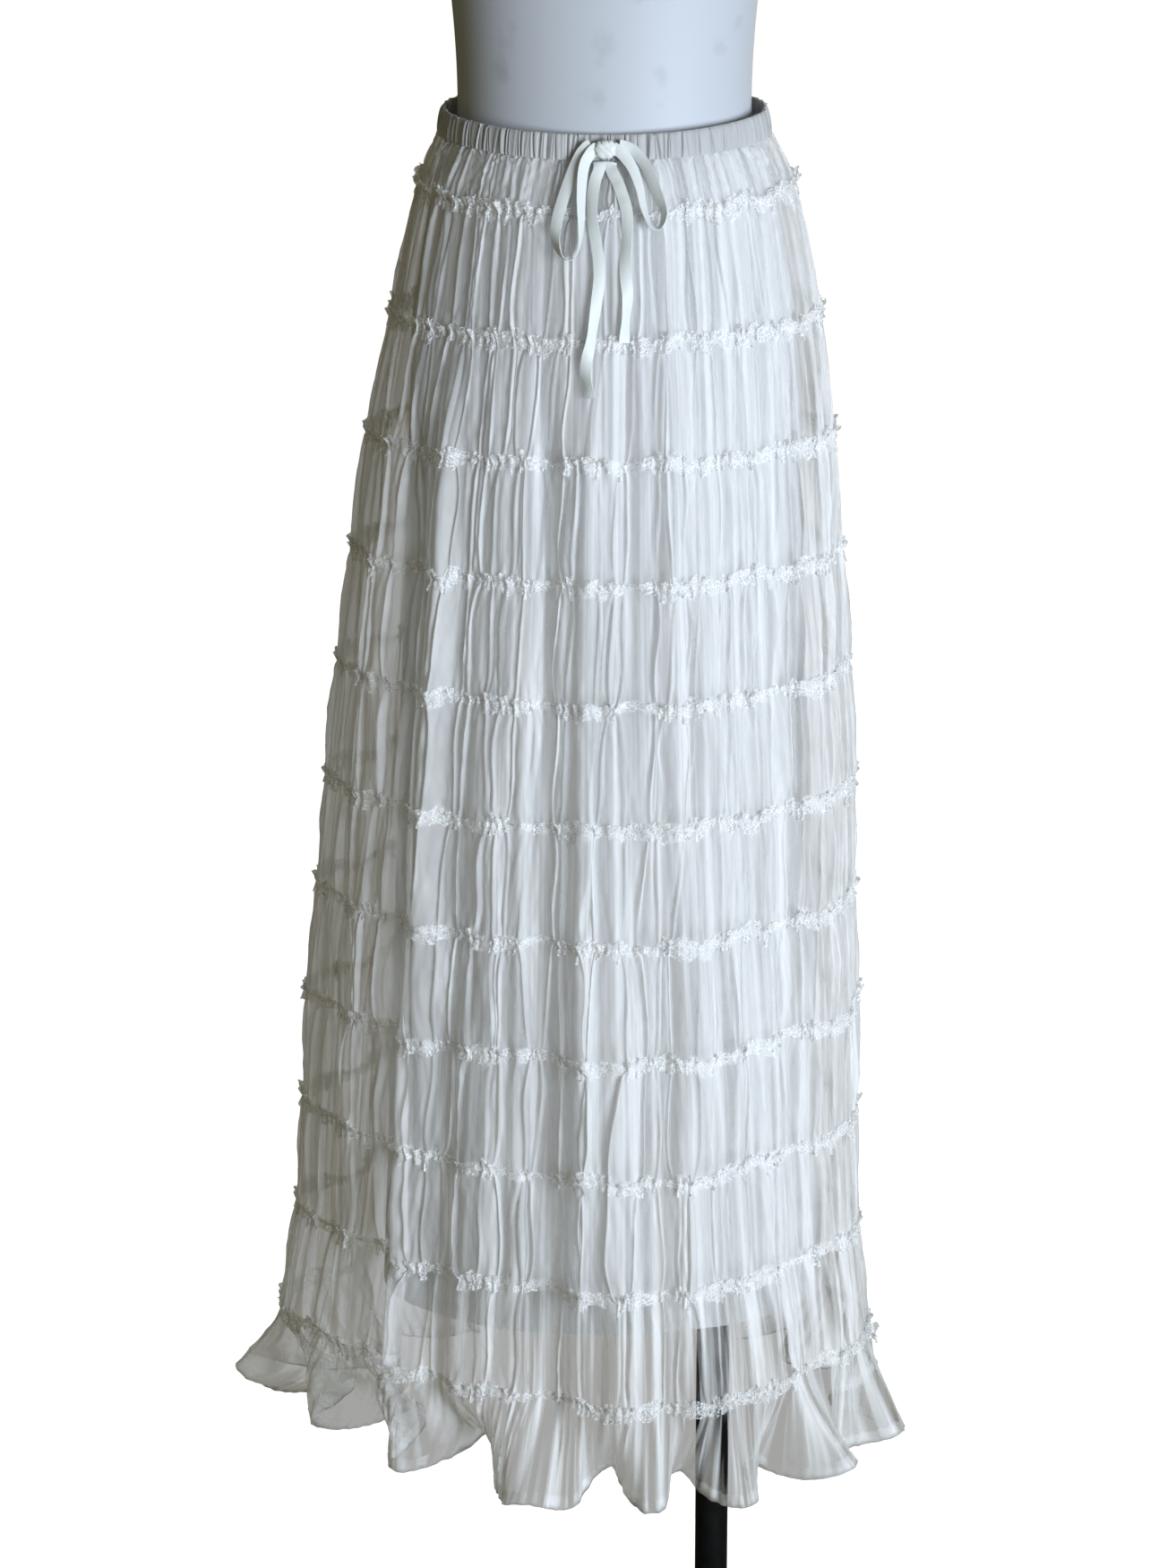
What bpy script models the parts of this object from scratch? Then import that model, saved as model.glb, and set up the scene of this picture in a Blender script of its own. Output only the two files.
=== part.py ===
"""A tiered, gathered chiffon skirt with a ribbon bow, worn by a limbless dress form on a pole stand.

Metres, +Z up. The origin is the centre of the round base's underside, on the pole's axis, and -Y is the front.
The skirt is worked out in plan: each level has a reach from the waist's axis at eight azimuths, and the large
hanging folds and the gathers are added to it. An azimuth is 0 at the front, 90 at the right-hand side of the
picture (+X), 180 at the back and -90 at the left.
"""

import functools
import math

import bmesh
import bpy
from mathutils import Matrix, Vector

MM = 0.001

# Driving dimensions
WAIST_HEIGHT = 1.320  # middle of the waistband at the front, above the floor
WAIST_X = -0.090  # the waist's axis; the pole stands beside it, at x = 0
WAIST_DIP = 0.0095  # the sides of the waistband stand this much above its front
DIP_FADES_BY = 0.25  # below the waist, where the seams hang level
BAND_WALL = 0.003
CLOTH = 0.0016  # wall of a gathered panel
LINING_CLOTH = 0.0010
SEAM_GAP = 0.0003
TIERS = 10
GATHERS = 15  # gathers in one round of cloth
GATHER_DRIFT = 0.12  # of a gather, from one seam to the next
SEAM_GATHER = 0.0014  # how far a gather stands out at a seam, and halfway down a tier
BELLY_GATHER = 0.0034
BELLY = 0.0036  # a tier's middle swells out by this much
ROUND_POINTS = 60  # points around a panel; the flounce has twice as many
LINING_POINTS = 40
LINING_END = 0.925  # below the waist
FRILL_UP = 0.007
FRILL_DOWN = 0.006
FRILL_OUT = 0.0062
FRILL_CREST = 0.3  # its crest, as a share of the way from the seam to the upper edge
FRILL_NEAR = 0.016  # a ribbon that passes a seam this close starts to rise over its frill
FRILL_CLEAR = 0.0008
FLUTE_CLEAR = 0.0016  # more, where the lowest frill lies on the steep flutes
POLE_RADIUS = 0.0135
POLE_DEPTH_IN_FORM = 0.060
COLLAR_RADIUS = 0.025
COLLAR_HEIGHT = 0.026
BASE_RADIUS = 0.185
BASE_THICKNESS = 0.008
BASE_EDGE = 0.002
HUB_RADIUS = 0.030
HUB_HEIGHT = 0.034
RIBBON_WIDTH = 0.0080
RIBBON_THICKNESS = 0.0010
KNOT_SIZE = (0.0175, 0.0085, 0.0165)
KNOT_EDGE = 0.0028

# Reaches of the skirt's outer face in millimetres, a row for each seam.
# Columns: millimetres below the waist, then the reach at azimuth 0, 45, 90, 135, 180, -135, -90 and -45.
LEVELS = (
    (-9, 85, 102, 121, 102, 86, 102, 121, 102),
    (9, 87, 104, 124, 104, 88, 104, 124, 104),
    (47, 106, 118, 142, 124, 110, 124, 140, 117),
    (141, 113, 127, 163, 142, 124, 142, 161, 125),
    (231, 121, 133, 175, 154, 134, 155, 180, 130),
    (322, 127, 139, 182, 163, 143, 165, 189, 135),
    (414, 133, 145, 187, 170, 151, 173, 199, 143),
    (508, 139, 151, 193, 176, 158, 182, 207, 151),
    (599, 145, 156, 194, 182, 165, 191, 213, 152),
    (691, 151, 163, 198, 188, 171, 199, 218, 155),
    (785, 157, 168, 199, 193, 177, 206, 224, 159),
    (877, 163, 175, 203, 198, 184, 212, 227, 163),
    (967, 170, 190, 211, 205, 192, 221, 240, 169),
)
FIRST_SEAM = 2  # its row in LEVELS

# Large hanging folds. Columns: azimuth, half its width in degrees, depth at the lowest seam in millimetres,
# and the millimetres below the waist where it starts.
FOLDS = (
    (-100, 17, 27, 230),
    (-72, 13, -15, 230),
    (-56, 9, 9, 140),
    (-38, 10, 7, 60),
    (-16, 12, -14, 140),
    (5, 10, 9, 60),
    (29, 11, 8, 140),
    (60, 13, -12, 140),
    (83, 12, 9, 230),
    (107, 12, -13, 230),
    (131, 13, 13, 140),
    (156, 12, -12, 140),
    (-178, 12, 12, 140),
    (-153, 12, -13, 140),
    (-128, 13, 12, 230),
)

# Flutes of the hem flounce. Columns: azimuth and reach of a crest, then of the valley after it, in millimetres.
FLUTES = (
    (-103, 314, -95, 205),
    (-87, 240, -74, 150),
    (-59, 196, -48, 120),
    (-16, 196, 1, 128),
    (12, 182, 23, 142),
    (34, 204, 47, 156),
    (58, 236, 69, 200),
    (81, 247, 96, 188),
    (109, 242, 121, 176),
    (133, 236, 145, 160),
    (158, 224, 170, 152),
    (-177, 222, -165, 156),
    (-152, 238, -140, 168),
    (-128, 262, -117, 196),
)
FLOUNCE_DEPTH = 0.086  # of its cloth, from the seam to the hem
FLUTE_OPENS = 1.25  # the flutes open slowly at first, as this power of the way down
FLOUNCE_HANGS = 0.6  # of its depth at least, however far it leans

# Reaches of the lining's outer face in millimetres. Columns: below the waist, front, side, back.
LINING = (
    (9.2, 83.2, 119.2, 84.4),
    (47, 96, 131, 101),
    (141, 104, 147, 114),
    (925, 126, 180, 148),
)

# The form's rounds in millimetres, from its flat underside up. Columns: above the waist, half its width,
# reach to the front, reach to the back.
FORM_ROUNDS = (
    (-330, 124, 79, 88),
    (-318, 133, 87, 96),
    (-285, 141, 93, 103),
    (-220, 146, 98, 108),
    (-150, 143, 98, 108),
    (-95, 134, 94, 101),
    (-45, 121, 86.5, 88),
    (0, 111.4, 80.6, 81.4),
    (44, 110.4, 78.5, 79),
    (98, 114, 84, 80),
    (150, 121, 94, 83),
    (205, 129, 104, 88),
    (260, 137, 104, 92),
    (310, 153, 94, 94),
    (350, 170, 80, 88),
    (378, 168, 68, 80),
    (402, 128, 58, 70),
    (424, 78, 51, 60),
    (450, 57, 48, 55),
    (500, 53, 47, 52),
)
SQUARENESS = 2.05  # of the form's and the lining's rounds; 2 is an ellipse
FORM_POINTS = 24
NECK_LEANS = 0.012  # the top of the neck stands this much behind the waist's axis
LEAN_STARTS = 44  # millimetres above the waist

# The bow's ribbons. Columns: millimetres across from the knot, below it, off the cloth, and the ribbon's turn
# in degrees, 0 where its flat side faces out.
BOW_LOOP_LEFT = (
    (-10.3, -3, 4.6, 0),
    (-14, -1, 4.6, 0),
    (-20, 8, 4.2, 15),
    (-29, 30, 4.4, 15),
    (-35, 50, 5.0, 20),
    (-36, 64, 6.0, 45),
    (-31, 75, 7.4, 75),
    (-23, 76, 8.0, 85),
    (-18.5, 66, 7.4, 75),
    (-17.5, 50, 7.6, 55),
    (-17.5, 32, 8.4, 40),
    (-16.5, 12, 8.2, 30),
)
BOW_LOOP_RIGHT = (
    (10.3, -3, 4.6, 0),
    (14, -2, 4.6, 0),
    (21, 1, 4.4, 15),
    (30, 12, 4.6, 20),
    (38, 30, 5.4, 30),
    (43, 44, 6.4, 55),
    (40, 54, 7.6, 80),
    (33, 52, 8.0, 80),
    (28, 40, 7.4, 60),
    (25, 26, 8.0, 45),
    (21.5, 13, 8.2, 40),
)
BOW_TAIL_LEFT = (
    (-4.3, 9.4, 4.2, 0),
    (-4.3, 14, 3.6, 0),
    (-8, 26, 2.6, 15),
    (-9.5, 46, 2.6, 30),
    (-6, 68, 2.4, 15),
    (-4, 88, 2.4, 0),
    (-6.5, 110, 2.6, -15),
    (-10, 134, 2.8, -30),
    (-14, 156, 2.6, 10),
    (-13, 168, 2.6, 25),
    (-10.5, 178, 2.6, 10),
)
BOW_TAIL_RIGHT = (
    (4.6, 9.4, 4.2, 0),
    (4.5, 14, 3.6, 0),
    (10.5, 26, 2.6, 0),
    (16, 44, 2.6, 10),
    (15.5, 66, 2.4, 30),
    (15, 86, 2.6, 10),
    (16.5, 104, 2.6, -20),
    (15, 122, 2.8, -35),
    (14, 138, 2.6, -10),
)
RIBBON_STEPS = 20
RIBBON_LOOKS_ASIDE = 5.0  # millimetres; it lies on the highest cloth within this of its middle

# Colours
WHITE_CHIFFON = (0.86, 0.87, 0.86)
WHITE_LINING = (0.84, 0.84, 0.82)
WHITE_SATIN = (0.88, 0.89, 0.87)
FORM_WHITE = (0.74, 0.76, 0.79)
BLACK_STEEL = (0.012, 0.012, 0.013)


def clear_scene():
    """Removes whatever the scene holds."""
    for thing in list(bpy.data.objects):
        bpy.data.objects.remove(thing, do_unlink=True)


def make_material(name, colour, roughness, metallic=0.0):
    material = bpy.data.materials.new(name)
    material.use_nodes = True
    shader = material.node_tree.nodes["Principled BSDF"]
    shader.inputs["Base Color"].default_value = (*colour, 1.0)
    shader.inputs["Roughness"].default_value = roughness
    shader.inputs["Metallic"].default_value = metallic
    return material


def add_object(name, mesh, material, smooth=True):
    mesh.materials.append(material)
    if smooth:
        mesh.shade_smooth()
        mesh.set_sharp_from_angle(angle=math.radians(50))
    thing = bpy.data.objects.new(name, mesh)
    bpy.context.scene.collection.objects.link(thing)
    return thing


def mix(a, b, share):
    return a + (b - a) * share


def curve_through(before, start, end, after, share):
    """A smooth curve's value between start and end (Catmull-Rom)."""
    slope_in = (end - before) / 2
    slope_out = (after - start) / 2
    square = share * share
    cube = square * share
    return (
        (2 * cube - 3 * square + 1) * start
        + (cube - 2 * square + share) * slope_in
        + (3 * square - 2 * cube) * end
        + (cube - square) * slope_out
    )


def around(reaches, azimuth):
    """The reach at an azimuth, from reaches at equal steps all round."""
    count = len(reaches)
    place = (azimuth % 360) / 360 * count
    first = int(place) % count
    four = [reaches[(first + step) % count] for step in (-1, 0, 1, 2)]
    return curve_through(*four, place - int(place))


def rows_about(table, value):
    """The two rows of a table whose first column holds value between them, and its share of the way."""
    for low, high in zip(table, table[1:]):
        if value <= high[0]:
            break
    share = (value - low[0]) / (high[0] - low[0])
    return low, high, min(max(share, 0.0), 1.0)


def turn_between(azimuth, centre):
    """Degrees from centre to azimuth, the short way."""
    return (azimuth - centre + 180) % 360 - 180


def fold_reach(azimuth, drop):
    """What the large hanging folds add at a place, in metres."""
    lowest = LEVELS[-1][0] * MM
    total = 0.0
    for centre, half_width, depth, start in FOLDS:
        off = abs(turn_between(azimuth, centre)) / half_width
        grown = (drop - start * MM) / (lowest - start * MM)
        if off < 1 and grown > 0:
            total += depth * MM * grown * (0.5 + 0.5 * math.cos(math.pi * off))
    return total


def skirt_reach(azimuth, drop):
    """The reach of the skirt's pinched seams at an azimuth and a drop below the waist."""
    low, high, share = rows_about(LEVELS, drop / MM)
    reach = mix(around(low[1:], azimuth), around(high[1:], azimuth), share) * MM
    return reach + fold_reach(azimuth, drop)


def seam_drop(seam):
    """The drop of a seam, counted from 1; seam 0 is the waistband's lower edge."""
    return LEVELS[FIRST_SEAM - 1 + seam][0] * MM


def gather(azimuth, seam_count, height):
    """A gather's wave at a place; seam_count is in seams from the waist, with halves in the tiers' middles."""
    return height * math.cos(math.radians(GATHERS * azimuth) + math.tau * GATHER_DRIFT * seam_count)


def seam_reach(azimuth, seam):
    return skirt_reach(azimuth, seam_drop(seam)) + gather(azimuth, seam, SEAM_GATHER)


def belly_reach(azimuth, seam):
    """The reach halfway between a seam and the next one down."""
    drop = (seam_drop(seam) + seam_drop(seam + 1)) / 2
    return skirt_reach(azimuth, drop) + BELLY + gather(azimuth, seam + 0.5, BELLY_GATHER)


def panel_reach(azimuth, seam, share):
    """The reach of the panel below a seam, at a share of the way to the next seam."""
    if share < 0.5:
        return mix(seam_reach(azimuth, seam), belly_reach(azimuth, seam), share * 2)
    return mix(belly_reach(azimuth, seam), seam_reach(azimuth, seam + 1), share * 2 - 1)


def height_at(azimuth, drop):
    """The height above the floor; the waist dips to the front and the lower seams are level."""
    fade = max(0.0, 1 - drop / DIP_FADES_BY)
    rise = WAIST_DIP * fade * (1 - math.cos(math.radians(azimuth)))
    return WAIST_HEIGHT - drop + rise


def place(azimuth, reach, height):
    angle = math.radians(azimuth)
    return Vector((WAIST_X + reach * math.sin(angle), -reach * math.cos(angle), height))


def round_of(points, reach_at, drop):
    """One round of points: reach_at gives the reach at an azimuth."""
    azimuths = [360 * step / points for step in range(points)]
    return [place(azimuth, reach_at(azimuth), height_at(azimuth, drop)) for azimuth in azimuths]


def moved_in(row, distance):
    """A copy of a round of points, moved towards the inside by distance, square to it in plan."""
    moved = []
    for index, point in enumerate(row):
        ahead = row[(index + 1) % len(row)] - row[index - 1]
        inward = Vector((-ahead.y, ahead.x, 0)).normalized()
        moved.append(point + inward * distance)
    return moved


def tube_mesh(name, outer_rows, inner_rows):
    """A closed wall between an outer and an inner tube, both given as rounds from the top down.

    A bent face with four corners is split from its first corner to its third, so the inner faces start one corner
    later: both sides of the wall are then split alike and stay apart where the wall leans and twists.
    """
    shell = bmesh.new()
    loop = [[shell.verts.new(point) for point in row] for row in (*outer_rows, *reversed(inner_rows))]
    count = len(loop[0])
    for order, (upper, lower) in enumerate(zip(loop, (*loop[1:], loop[0]))):
        first = 0 if order < len(outer_rows) else 1
        for index in range(count):
            after = (index + 1) % count
            corners = (upper[index], lower[index], lower[after], upper[after])
            shell.faces.new(corners[first:] + corners[:first])
    mesh = bpy.data.meshes.new(name)
    shell.to_mesh(mesh)
    shell.free()
    return mesh


def closed_rounds_mesh(name, rows):
    """A closed body through rounds of points, from the bottom up, with a flat face at each end."""
    body = bmesh.new()
    rings = [[body.verts.new(point) for point in row] for row in rows]
    count = len(rings[0])
    for lower, upper in zip(rings, rings[1:]):
        for index in range(count):
            after = (index + 1) % count
            body.faces.new((lower[index], lower[after], upper[after], upper[index]))
    body.faces.new(list(reversed(rings[0])))
    body.faces.new(rings[-1])
    mesh = bpy.data.meshes.new(name)
    body.to_mesh(mesh)
    body.free()
    return mesh


def make_waistband(material):
    outer = []
    for row in LEVELS[:FIRST_SEAM]:
        drop = row[0] * MM - math.copysign(SEAM_GAP / 2, row[0])
        outer.append(round_of(ROUND_POINTS, functools.partial(skirt_reach, drop=drop), drop))
    inner = [moved_in(row, BAND_WALL) for row in outer]
    return add_object("waistband", tube_mesh("waistband", outer, inner), material)


def make_panel(name, seam, material):
    """The gathered panel between a seam and the next one down."""
    top = seam_drop(seam) + SEAM_GAP / 2
    bottom = seam_drop(seam + 1) - SEAM_GAP / 2
    outer = []
    for share in (0, 0.5, 1):
        reach_at = functools.partial(panel_reach, seam=seam, share=share)
        outer.append(round_of(ROUND_POINTS, reach_at, mix(top, bottom, share)))
    inner = [moved_in(row, CLOTH) for row in outer]
    return add_object(name, tube_mesh(name, outer, inner), material)


def frill_reaches(azimuth, seam):
    """The reaches of a frill's upper and lower edges, which clear the cloth between them too."""
    share_up = FRILL_UP / (seam_drop(seam) - seam_drop(seam - 1))
    upper = panel_reach(azimuth, seam - 1, 1 - share_up)
    if seam > TIERS:
        hung = flounce_drop(azimuth, 0.5) - seam_drop(seam)
        lower = mix(seam_reach(azimuth, seam), flounce_reach(azimuth, 0.5), FRILL_DOWN / hung) + FLUTE_CLEAR
    else:
        lower = panel_reach(azimuth, seam, FRILL_DOWN / (seam_drop(seam + 1) - seam_drop(seam)))
    straight = mix(upper, lower, FRILL_UP / (FRILL_UP + FRILL_DOWN))
    lift = max(0.0, seam_reach(azimuth, seam) - straight) + FRILL_CLEAR
    return upper + lift, lower + lift


def make_frill(name, seam, material):
    """The raw-edged frill left outside along a seam: a low wedge that follows the gathers of both panels."""
    rows = (
        (-FRILL_UP, lambda azimuth: frill_reaches(azimuth, seam)[0]),
        (-FRILL_UP * FRILL_CREST, lambda azimuth: seam_reach(azimuth, seam) + FRILL_OUT),
        (FRILL_DOWN, lambda azimuth: frill_reaches(azimuth, seam)[1]),
    )
    rounds = [round_of(ROUND_POINTS, reach_at, seam_drop(seam) + below) for below, reach_at in rows]
    return add_object(name, tube_mesh(name, rounds[:2], rounds[2:]), material, smooth=False)


def hem_reach(azimuth):
    """The reach of the hem's edge: a soft wave through the flutes' crests and valleys."""
    stops = []
    for crest, crest_reach, valley, valley_reach in FLUTES:
        stops.append((crest, crest_reach * MM))
        stops.append((valley, valley_reach * MM))
    stops.append((stops[0][0] + 360, stops[0][1]))
    stops = unwrapped(stops)
    turned = stops[0][0] + (azimuth - stops[0][0]) % 360
    low, high, share = rows_about(stops, turned)
    return mix(low[1], high[1], 0.5 - 0.5 * math.cos(math.pi * share))


def unwrapped(stops):
    """The same stops with azimuths that only grow."""
    grown = [stops[0]]
    for azimuth, reach in stops[1:]:
        grown.append((grown[-1][0] + (azimuth - grown[-1][0]) % 360, reach))
    return grown


def flounce_reach(azimuth, share):
    """The reach of the flounce at a share of the way down its cloth; its flutes open towards the hem."""
    opened = share**FLUTE_OPENS
    return mix(seam_reach(azimuth, TIERS + 1), hem_reach(azimuth), opened)


def flounce_drop(azimuth, share):
    """How far the flounce hangs below the waist there; cloth that leans out or in hangs less low."""
    lean = flounce_reach(azimuth, share) - seam_reach(azimuth, TIERS + 1)
    length = FLOUNCE_DEPTH * share
    return seam_drop(TIERS + 1) + math.sqrt(max(length * length - lean * lean, (FLOUNCE_HANGS * length) ** 2))


def make_flounce(material):
    """The hem flounce; its upper edge lies along the straight stretches of the seam above."""
    top_drop = seam_drop(TIERS + 1) + SEAM_GAP
    seam_row = round_of(ROUND_POINTS, lambda azimuth: seam_reach(azimuth, TIERS + 1), top_drop)
    top = []
    for index, point in enumerate(seam_row):
        after = seam_row[(index + 1) % ROUND_POINTS]
        top += [point, (point + after) / 2]
    outer = [top]
    for share in (0.5, 1):
        row = []
        for step in range(2 * ROUND_POINTS):
            azimuth = 180 * step / ROUND_POINTS
            height = height_at(azimuth, flounce_drop(azimuth, share))
            row.append(place(azimuth, flounce_reach(azimuth, share), height))
        outer.append(row)
    inner = [moved_in(row, CLOTH) for row in outer]
    return add_object("hem_flounce", tube_mesh("hem_flounce", outer, inner), material)


def squared_reach(azimuth, side, front, back, squareness):
    """The reach of a round that is part way between an ellipse and a rectangle."""
    angle = math.radians(azimuth)
    deep = front if math.cos(angle) > 0 else back
    across = abs(math.sin(angle) / side) ** squareness
    along = abs(math.cos(angle) / deep) ** squareness
    return (across + along) ** (-1 / squareness)


def lining_reach(azimuth, drop):
    low, high, share = rows_about(LINING, drop / MM)
    front, side, back = (mix(a, b, share) * MM for a, b in zip(low[1:], high[1:]))
    return squared_reach(azimuth, side, front, back, SQUARENESS)


def make_lining(material):
    outer = []
    for drop in (*(row[0] * MM for row in LINING[:-1]), LINING_END):
        outer.append(round_of(LINING_POINTS, functools.partial(lining_reach, drop=drop), drop))
    inner = [moved_in(row, LINING_CLOTH) for row in outer]
    return add_object("lining", tube_mesh("lining", outer, inner), material)


def make_form(material):
    """The limbless torso, with a bore in its underside for the pole."""
    rows = []
    for above, half_width, front, back in FORM_ROUNDS:
        lean = NECK_LEANS * max(0.0, (above - LEAN_STARTS) / (FORM_ROUNDS[-1][0] - LEAN_STARTS))
        row = []
        for step in range(FORM_POINTS):
            azimuth = 360 * step / FORM_POINTS
            reach = squared_reach(azimuth, half_width * MM, front * MM, back * MM, SQUARENESS)
            row.append(place(azimuth, reach, WAIST_HEIGHT + above * MM) + Vector((0, lean, 0)))
        rows.append(row)
    form = add_object("dress_form", closed_rounds_mesh("dress_form", rows), material)
    underside = WAIST_HEIGHT + FORM_ROUNDS[0][0] * MM
    bore = add_turned(
        "pole_bore",
        ((POLE_RADIUS + SEAM_GAP, POLE_DEPTH_IN_FORM + SEAM_GAP), (POLE_RADIUS + SEAM_GAP, -POLE_RADIUS)),
        underside,
        material,
    )
    bore.hide_render = True
    bore.display_type = "WIRE"
    cut = form.modifiers.new("pole_bore", "BOOLEAN")
    cut.operation = "DIFFERENCE"
    cut.object = bore
    return form


def add_turned(name, profile, height, material, steps=24):
    """A solid turned about the pole's axis; profile is (radius, height) pairs down its outer side."""
    body = bmesh.new()
    rings = []
    for radius, above in reversed(profile):
        ring = []
        for step in range(steps):
            angle = math.tau * step / steps
            ring.append(body.verts.new((radius * math.cos(angle), radius * math.sin(angle), above)))
        rings.append(ring)
    for lower, upper in zip(rings, rings[1:]):
        for index in range(steps):
            after = (index + 1) % steps
            body.faces.new((lower[index], lower[after], upper[after], upper[index]))
    body.faces.new(list(reversed(rings[0])))
    body.faces.new(rings[-1])
    mesh = bpy.data.meshes.new(name)
    body.to_mesh(mesh)
    body.free()
    turned = add_object(name, mesh, material)
    turned.location.z = height
    return turned


def add_sleeve(name, inner, outer, low, high, material, steps=24):
    """A plain ring round the pole."""
    rounds = []
    for radius, height in ((outer, high), (outer, low), (inner, low), (inner, high)):
        row = []
        for step in range(steps):
            angle = math.tau * step / steps
            row.append(Vector((radius * math.cos(angle), radius * math.sin(angle), height)))
        rounds.append(row)
    return add_object(name, tube_mesh(name, rounds[:2], list(reversed(rounds[2:]))), material)


def make_stand(material):
    """The round base, its hub, the pole and the collar that carries the form."""
    add_turned(
        "stand_base",
        (
            (BASE_RADIUS - BASE_EDGE, BASE_THICKNESS),
            (BASE_RADIUS, BASE_THICKNESS - BASE_EDGE),
            (BASE_RADIUS, 0.0),
        ),
        0.0,
        material,
        steps=40,
    )
    foot = BASE_THICKNESS + SEAM_GAP
    underside = WAIST_HEIGHT + FORM_ROUNDS[0][0] * MM
    add_turned(
        "stand_pole",
        ((POLE_RADIUS, underside + POLE_DEPTH_IN_FORM), (POLE_RADIUS, foot)),
        0.0,
        material,
    )
    loose = POLE_RADIUS + SEAM_GAP
    add_sleeve("stand_hub", loose, HUB_RADIUS, foot, foot + HUB_HEIGHT, material)
    collar_top = underside - SEAM_GAP
    add_sleeve("stand_collar", loose, COLLAR_RADIUS, collar_top - COLLAR_HEIGHT, collar_top, material)


def front_reach(across, drop):
    """How far the skirt's face stands in front of the waist's axis, at a place across and below the waist."""
    azimuth = 0.0
    for _ in range(8):
        reach = face_reach(azimuth, drop)
        azimuth = math.degrees(math.asin(min(max(across / reach, -1), 1)))
    return face_reach(azimuth, drop) * math.cos(math.radians(azimuth))


def face_reach(azimuth, drop):
    """The reach of whatever panel is there, with its frill where there is one."""
    if drop < seam_drop(0):
        return skirt_reach(azimuth, drop)
    for seam in range(TIERS + 1):
        top, bottom = seam_drop(seam), seam_drop(seam + 1)
        if drop <= bottom:
            break
    reach = panel_reach(azimuth, seam, (drop - top) / (bottom - top))
    for near in (seam, seam + 1):
        off = abs(drop - seam_drop(near))
        if near > 0 and off < FRILL_NEAR:
            swell = FRILL_OUT * min(1.0, (FRILL_NEAR - off) / (FRILL_NEAR - FRILL_DOWN))
            reach = max(reach, seam_reach(azimuth, near) + swell)
    return reach


def smooth_path(points, steps):
    """Points at equal steps on a smooth curve through the given ones."""
    padded = [points[0], *points, points[-1]]
    path = []
    for step in range(steps + 1):
        along = step / steps * (len(points) - 1)
        first = min(int(along), len(points) - 2)
        four = padded[first : first + 4]
        path.append([curve_through(*column, along - first) for column in zip(*four)])
    return path


def make_ribbon(name, route, material):
    """A flat ribbon along a route that is given off the skirt's face."""
    centres, turns = [], []
    for across, below, off, turn in smooth_path(route, RIBBON_STEPS):
        beside = (across - RIBBON_LOOKS_ASIDE, across, across + RIBBON_LOOKS_ASIDE)
        depth = max(front_reach(place_across * MM, below * MM) for place_across in beside)
        centres.append(Vector((WAIST_X + across * MM, -depth - off * MM, WAIST_HEIGHT - below * MM)))
        turns.append(math.radians(turn))
    strip = bmesh.new()
    rings = []
    for index, centre in enumerate(centres):
        ahead = centres[min(index + 1, RIBBON_STEPS)] - centres[max(index - 1, 0)]
        wide = ahead.cross(Vector((0, -1, 0))).normalized()
        wide.rotate(Matrix.Rotation(turns[index], 3, ahead.normalized()))
        thick = wide.cross(ahead).normalized()
        corners = ((1, 1), (-1, 1), (-1, -1), (1, -1))
        rings.append(
            [
                strip.verts.new(centre + wide * (a * RIBBON_WIDTH / 2) + thick * (b * RIBBON_THICKNESS / 2))
                for a, b in corners
            ]
        )
    for near, far in zip(rings, rings[1:]):
        for corner in range(4):
            after = (corner + 1) % 4
            strip.faces.new((near[corner], near[after], far[after], far[corner]))
    strip.faces.new(list(reversed(rings[0])))
    strip.faces.new(rings[-1])
    bmesh.ops.recalc_face_normals(strip, faces=strip.faces)
    mesh = bpy.data.meshes.new(name)
    strip.to_mesh(mesh)
    strip.free()
    return add_object(name, mesh, material, smooth=False)


def make_bow(material):
    knot = bmesh.new()
    bmesh.ops.create_cube(knot, size=1.0, matrix=Matrix.Diagonal((*KNOT_SIZE, 1.0)))
    mesh = bpy.data.meshes.new("bow_knot")
    knot.to_mesh(mesh)
    knot.free()
    thing = add_object("bow_knot", mesh, material)
    clear = SEAM_GAP + KNOT_SIZE[1] / 2
    thing.location = (WAIST_X, -front_reach(0.0, seam_drop(0)) - clear, WAIST_HEIGHT)
    edge = thing.modifiers.new("soft_edge", "BEVEL")
    edge.width = KNOT_EDGE
    edge.segments = 2
    make_ribbon("bow_loop_left", BOW_LOOP_LEFT, material)
    make_ribbon("bow_loop_right", BOW_LOOP_RIGHT, material)
    make_ribbon("bow_tail_left", BOW_TAIL_LEFT, material)
    make_ribbon("bow_tail_right", BOW_TAIL_RIGHT, material)


def main():
    clear_scene()
    chiffon = make_material("white_chiffon", WHITE_CHIFFON, 0.75)
    lining = make_material("white_lining", WHITE_LINING, 0.8)
    satin = make_material("white_satin", WHITE_SATIN, 0.4)
    shell = make_material("form_shell", FORM_WHITE, 0.55)
    steel = make_material("black_steel", BLACK_STEEL, 0.45)
    make_waistband(chiffon)
    make_panel("yoke", 0, chiffon)
    for tier in range(1, TIERS + 1):
        make_panel(f"tier_{tier:02d}", tier, chiffon)
    make_flounce(chiffon)
    for seam in range(1, TIERS + 2):
        make_frill(f"frill_{seam:02d}", seam, chiffon)
    make_lining(lining)
    make_bow(satin)
    make_form(shell)
    make_stand(steel)


main()
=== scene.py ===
"""The looks of a tiered, gathered chiffon skirt on a limbless dress form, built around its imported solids.

Metres, +Z up, the front faces -Y. An azimuth is 0 at the front, 90 at the right-hand side of the picture (+X), 180 at
the back and -90 at the left. A drop is a distance below the middle of the waistband's front. Cloth coordinates run
from 0 to 1 round the skirt, in equal steps of its length, and start at the back.
"""

from __future__ import annotations

import logging
import math
from collections.abc import Callable
from dataclasses import dataclass, field
from enum import Enum, IntEnum

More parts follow.
